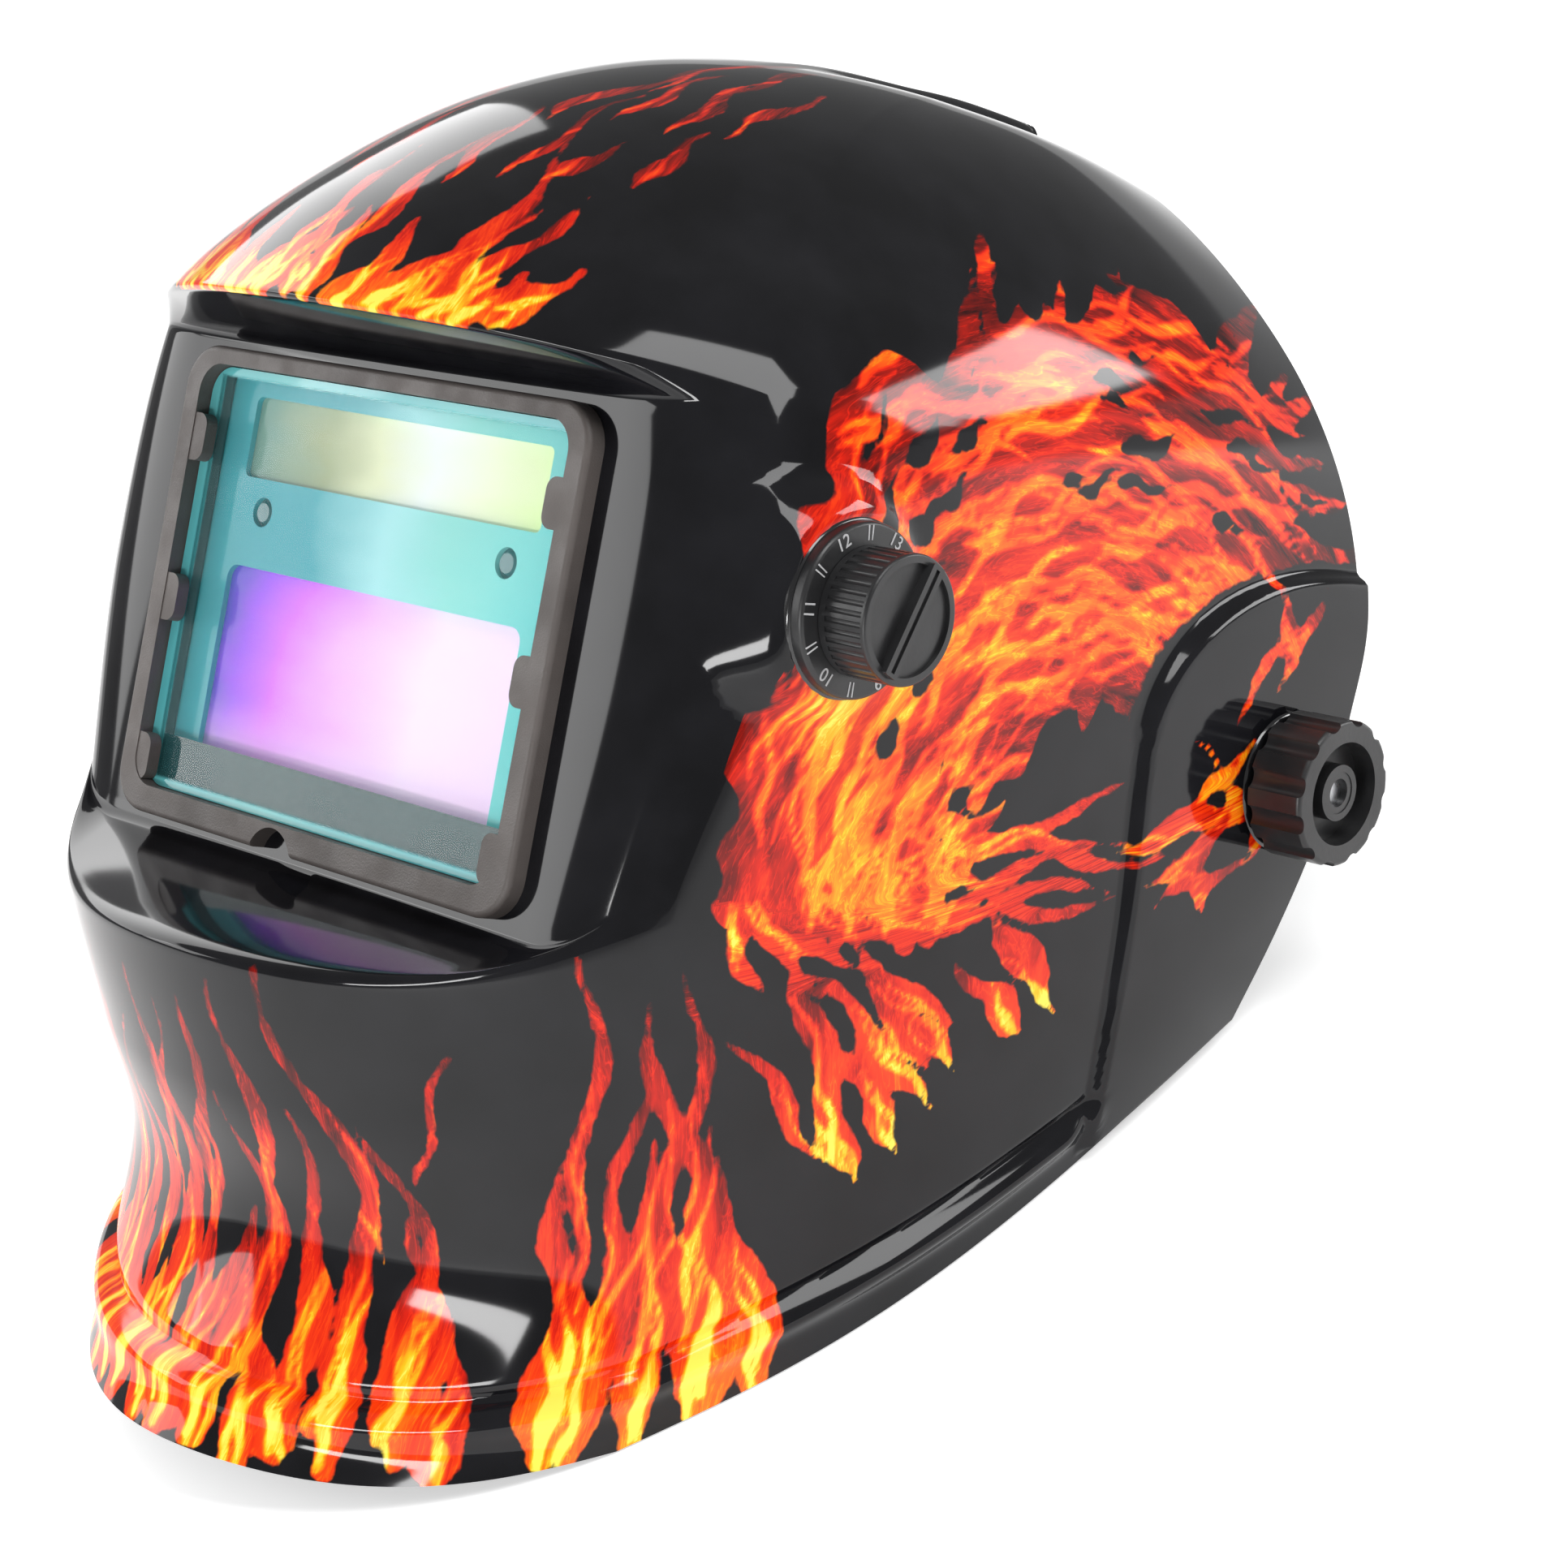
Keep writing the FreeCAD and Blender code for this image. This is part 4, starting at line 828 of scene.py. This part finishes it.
# housing_face: the pale band at 0.50 in its stops is a painted reflection; the teal around it is the face's
# own colour
assign(tinted_panel("housing_face",
                    [(0.0, (0.05, 0.36, 0.42)), (0.30, (0.06, 0.38, 0.45)), (0.50, (0.42, 0.80, 0.82)),
                     (0.68, (0.28, 0.72, 0.66)), (1.0, (0.11, 0.60, 0.60))],
                    (-34, -46), (0.12, 0.44, 0.52), Specular_IOR_Level=0.15), "cartridge_housing")
assign(tinted_panel("coated_filter",
                    [(0.10, (0.07, 0.03, 0.55)), (0.20, (0.38, 0.03, 0.92)), (0.32, (0.80, 0.12, 0.98)),
                     (0.50, (0.96, 0.48, 1.0)), (0.68, (1.0, 0.78, 1.0)), (1.0, (1.0, 0.70, 0.97))],
                    (-20, -46), (1.0, 0.62, 1.0), Specular_IOR_Level=0.15), "interference_filter")
# solar_film: the near-white bands in the middle of its stops are painted reflection; the grey-greens and
# yellow-greens are the film's own colour
assign(tinted_panel("solar_film",
                    [(0.12, (0.20, 0.33, 0.26)), (0.27, (0.40, 0.42, 0.22)), (0.40, (0.86, 0.86, 0.55)),
                     (0.55, (1.0, 1.0, 0.96)), (0.72, (1.0, 1.0, 0.72)), (0.92, (0.78, 0.98, 0.36))],
                    (10, 0), (1.0, 1.0, 0.8), Specular_IOR_Level=0.15), "solar_panel")
assign(plastic("dark_glass", (0.004, 0.008, 0.006), (0.006, 0.014, 0.010), 60, (0.03, 0.06), 0.0,
               Coat_Weight=1.0, Coat_Roughness=0.02), "lcd_shutter", "inner_lens")
assign(cover_material(), "cover_lens")


# ---------------------------------------------------------------- bosses of the shell
TURNED_SEGMENTS, FILLET_STEPS = 96, 5


def turned(name, profile, center, axis):
    """Ring of revolution: profile is (along the axis, radius) in millimetres, closed."""
    mesh = bmesh.new()
    axis = Vector(axis)
    side = Vector((0, 1, 0))
    rest = axis.cross(side)
    rings = []
    for k in range(TURNED_SEGMENTS):
        a = 2 * pi * k / TURNED_SEGMENTS
        out = side * cos(a) + rest * sin(a)
        rings.append([mesh.verts.new(Vector(center) + axis * h + out * r) for h, r in profile])
    for k in range(TURNED_SEGMENTS):
        one, two = rings[k], rings[(k + 1) % TURNED_SEGMENTS]
        for i in range(len(profile)):
            j = (i + 1) % len(profile)
            mesh.faces.new((one[i], two[i], two[j], one[j]))
    bmesh.ops.recalc_face_normals(mesh, faces=mesh.faces)
    data = mesh_data(name, mesh)
    obj = new_object(name, data)
    points = np.array([v.co for v in data.vertices])
    data.vertices.foreach_set("co", to_row(points).astype(np.float32).ravel())
    smooth_shade(obj, 30)
    return obj


def fillet(h, r, size):
    """Points rounding an outer corner at height h and radius r."""
    return [(h - size + size * sin(a), r - size + size * cos(a))
            for a in (pi / 2 * k / FILLET_STEPS for k in range(FILLET_STEPS + 1))]


def add_bosses():
    """Seats of the shade dial and of the two pivots, hollow where the CAD pieces pass through."""
    dial_profile = [(0, 12.2), (0, 17.6)] + fillet(10.6, 17.2, 0.8) + [(10.6, 3.7), (6, 3.7), (6, 12.2)]
    dial = turned("dial_boss", dial_profile, (95, DIAL_Y, DIAL_Z), (1, 0, 0))
    pivot_profile = [(0, 3.4), (0, 16.2)] + fillet(5.8, 15, 1.2) + [(5.8, 3.4)]
    pivots = [turned("pivot_boss_" + name, pivot_profile, (side * 108, PIVOT_Y, 0), (side, 0, 0))
              for name, side in (("left", 1), ("right", -1))]
    for boss in [dial] + pivots:
        boss.data.materials.append(gloss_black)
        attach(boss, "mask")


add_bosses()


# ---------------------------------------------------------------- dial numbers
DIAL_FACE_X = 108.2
NINE_AT, NUMBER_STEP = 300.0, 57.5    # angles of the first number and between numbers, in degrees
NUMBER_SIZE, NUMBER_DEPTH, NUMBER_R = 3.7, 0.12, 14.5
TICK_R = (13.2, 16.0)
TICK_PAIR, TICK_HALF = 2.0, 0.5       # angles to each tick of a pair and to a tick's sides


def dial_place(angle, radius, proud):
    """Place on the dial's face in the design frame, proud of it by this much."""
    a = radians(angle)
    return (DIAL_FACE_X + proud, DIAL_Y + radius * cos(a), DIAL_Z + radius * sin(a))


def add_number(number, material):
    angle = NINE_AT - NUMBER_STEP * (number - 9)
    text = bpy.data.curves.new(f"number_{number}", "FONT")
    text.body = str(number)
    text.size, text.extrude = NUMBER_SIZE * MM, NUMBER_DEPTH * MM
    text.align_x, text.align_y = "CENTER", "CENTER"
    obj = new_object(f"number_{number}", text)
    up = Vector((0, cos(radians(angle)), sin(radians(angle))))
    out = Vector((1, 0, 0))
    turn = Matrix((up.cross(out), up, out)).transposed()
    place = to_row(dial_place(angle, NUMBER_R, 0.02))
    obj.matrix_world = Matrix.Translation(place) @ (TILT @ turn).to_4x4()
    text.materials.append(material)
    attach(obj, "mask")


def add_ticks(material):
    """A pair of ticks halfway between each two numbers."""
    mesh = bmesh.new()
    for k in range(4):
        angle = NINE_AT - NUMBER_STEP * (k + 0.5)
        for offset in (-TICK_PAIR, TICK_PAIR):
            ring = [dial_place(angle + offset + da, r, h) for h in (-0.1, 0.14)
                    for r, da in ((TICK_R[0], -TICK_HALF), (TICK_R[1], -TICK_HALF),
                                  (TICK_R[1], TICK_HALF), (TICK_R[0], TICK_HALF))]
            verts = [mesh.verts.new(tuple(p)) for p in to_row(np.array(ring))]
            for face in ((3, 2, 1, 0), (4, 5, 6, 7), (0, 1, 5, 4), (1, 2, 6, 5), (2, 3, 7, 6), (3, 0, 4, 7)):
                mesh.faces.new([verts[i] for i in face])
    data = mesh_data("dial_ticks", mesh)
    data.materials.append(material)
    ticks = new_object("dial_ticks", data)
    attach(ticks, "mask")


mark_paint = plastic("mark_paint", (0.42, 0.42, 0.43), (0.6, 0.6, 0.61), 900, (0.5, 0.6))
for shade in range(9, 14):
    add_number(shade, mark_paint)
add_ticks(mark_paint)


# ---------------------------------------------------------------- padded fabric
PAD_VOXEL, PAD_SWELL = 0.003, 0.002   # remesh size, and the most a pad swells, in metres
PAD_PRESSURE, CLOTH_FRAMES = 4.0, 20


def apply_modifiers(obj):
    bpy.context.view_layer.update()
    graph = bpy.context.evaluated_depsgraph_get()
    data = bpy.data.meshes.new_from_object(obj.evaluated_get(graph))
    old = obj.data
    obj.modifiers.clear()
    obj.data = data
    bpy.data.meshes.remove(old)


def inflate(obj):
    """Cloth simulation of the pad under pressure, applied."""
    cloth = obj.modifiers.new("cloth", "CLOTH")
    cloth.settings.use_pressure = True
    cloth.settings.uniform_pressure_force = PAD_PRESSURE
    cloth.settings.effector_weights.gravity = 0
    cloth.settings.quality = 5
    cloth.point_cache.frame_start, cloth.point_cache.frame_end = 1, CLOTH_FRAMES
    for step in range(1, CLOTH_FRAMES + 1):
        bpy.context.scene.frame_set(step)
    apply_modifiers(obj)
    bpy.context.scene.frame_set(1)


def padded_copy(node, name, material):
    """Cloth-simulated pad that starts from the CAD pad's mesh and swells by a limited amount."""
    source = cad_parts[node]
    obj = new_object(name, source.data.copy())
    obj.data.materials.clear()
    obj.data.materials.append(material)
    remesh = obj.modifiers.new("remesh", "REMESH")
    remesh.mode, remesh.voxel_size = "VOXEL", PAD_VOXEL
    apply_modifiers(obj)
    start = np.array([v.co for v in obj.data.vertices])
    inflate(obj)
    shift = np.array([v.co for v in obj.data.vertices]) - start
    size = np.linalg.norm(shift, axis=1, keepdims=True)
    moved = start + shift * np.minimum(1, PAD_SWELL / np.maximum(size, 1e-9))
    obj.data.vertices.foreach_set("co", moved.astype(np.float32).ravel())
    obj.data.update()
    obj.modifiers.new("smooth", "SUBSURF").levels = 1
    apply_modifiers(obj)
    smooth_shade(obj, 60)
    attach(obj, "headgear")
    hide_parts(node)


padded_copy("sweatband", "sweatband_pad", fabric("sweatband_terry"))
padded_copy("rear_pad", "rear_cushion", fabric("rear_foam"))


# ---------------------------------------------------------------- stage, light and camera
FLOOR_HALF, FLOOR_GLOW, WORLD_STRENGTH = 60.0, 0.42, 0.28
LIGHT_TARGET = (0, 0, 0.1)
# Soft boxes: (name, place, width and height, power), in metres and watts.
LIGHTS = [
    ("left_box", (-1.22, 0.08, 0.78), (1.9, 0.8), 15),
    ("front_left_box", (-0.88, -0.86, 0.64), (0.5, 0.5), 3.5),
    ("front_fill", (0.30, -1.10, 0.36), (0.50, 0.16), 5),
    ("right_box", (0.74, 0.27, 1.15), (0.45, 1.1), 11),
    ("back_box", (0.9, 1.3, 0.35), (0.8, 0.3), 6),
]
CAMERA_PLACE = (0.528, -0.40541, 0.41495)
CAMERA_TURN = (60.790823, 13.755613, 42.970864)   # degrees about X, Y and Z
CAMERA_LENS, CAMERA_SENSOR = 78.111, 36.0         # millimetres


def add_stage():
    """Pale floor and a plain white world."""
    mesh = bmesh.new()
    corners = [mesh.verts.new((x * FLOOR_HALF, y * FLOOR_HALF, 0))
               for x, y in ((-1, -1), (1, -1), (1, 1), (-1, 1))]
    mesh.faces.new(corners)
    data = mesh_data("floor", mesh)
    paint = Paint("studio_floor", Roughness=0.75, Specular_IOR_Level=0.2)
    paint.set("Base Color", paint.ramp(paint.noise(paint.place(), 6, 2), (0.3, (0.93, 0.93, 0.93)),
                                       (0.7, (0.96, 0.96, 0.96))))
    paint.set("Emission Color", (1, 1, 1, 1))
    paint.set("Emission Strength", FLOOR_GLOW)
    data.materials.append(paint.material)
    floor_plane = new_object("floor", data)
    world = bpy.data.worlds.new("studio")
    world.use_nodes = True
    background = world.node_tree.nodes["Background"]
    background.inputs["Color"].default_value = (1, 1, 1, 1)
    background.inputs["Strength"].default_value = WORLD_STRENGTH
    bpy.context.scene.world = world


def add_light(name, location, size, power):
    data = bpy.data.lights.new(name, "AREA")
    data.shape, data.size, data.size_y, data.energy = "RECTANGLE", size[0], size[1], power
    obj = new_object(name, data)
    obj.location = location
    obj.rotation_euler = (Vector(LIGHT_TARGET) - Vector(location)).to_track_quat("-Z", "Y").to_euler()


def add_camera():
    data = bpy.data.cameras.new("camera")
    data.lens, data.sensor_width, data.clip_start = CAMERA_LENS, CAMERA_SENSOR, 0.01
    obj = new_object("camera", data)
    obj.location = CAMERA_PLACE
    obj.rotation_euler = [radians(a) for a in CAMERA_TURN]
    bpy.context.scene.camera = obj


add_stage()
for light in LIGHTS:
    add_light(*light)
add_camera()
scene = bpy.context.scene
scene.view_settings.view_transform = "Standard"
scene.view_settings.look = "None"
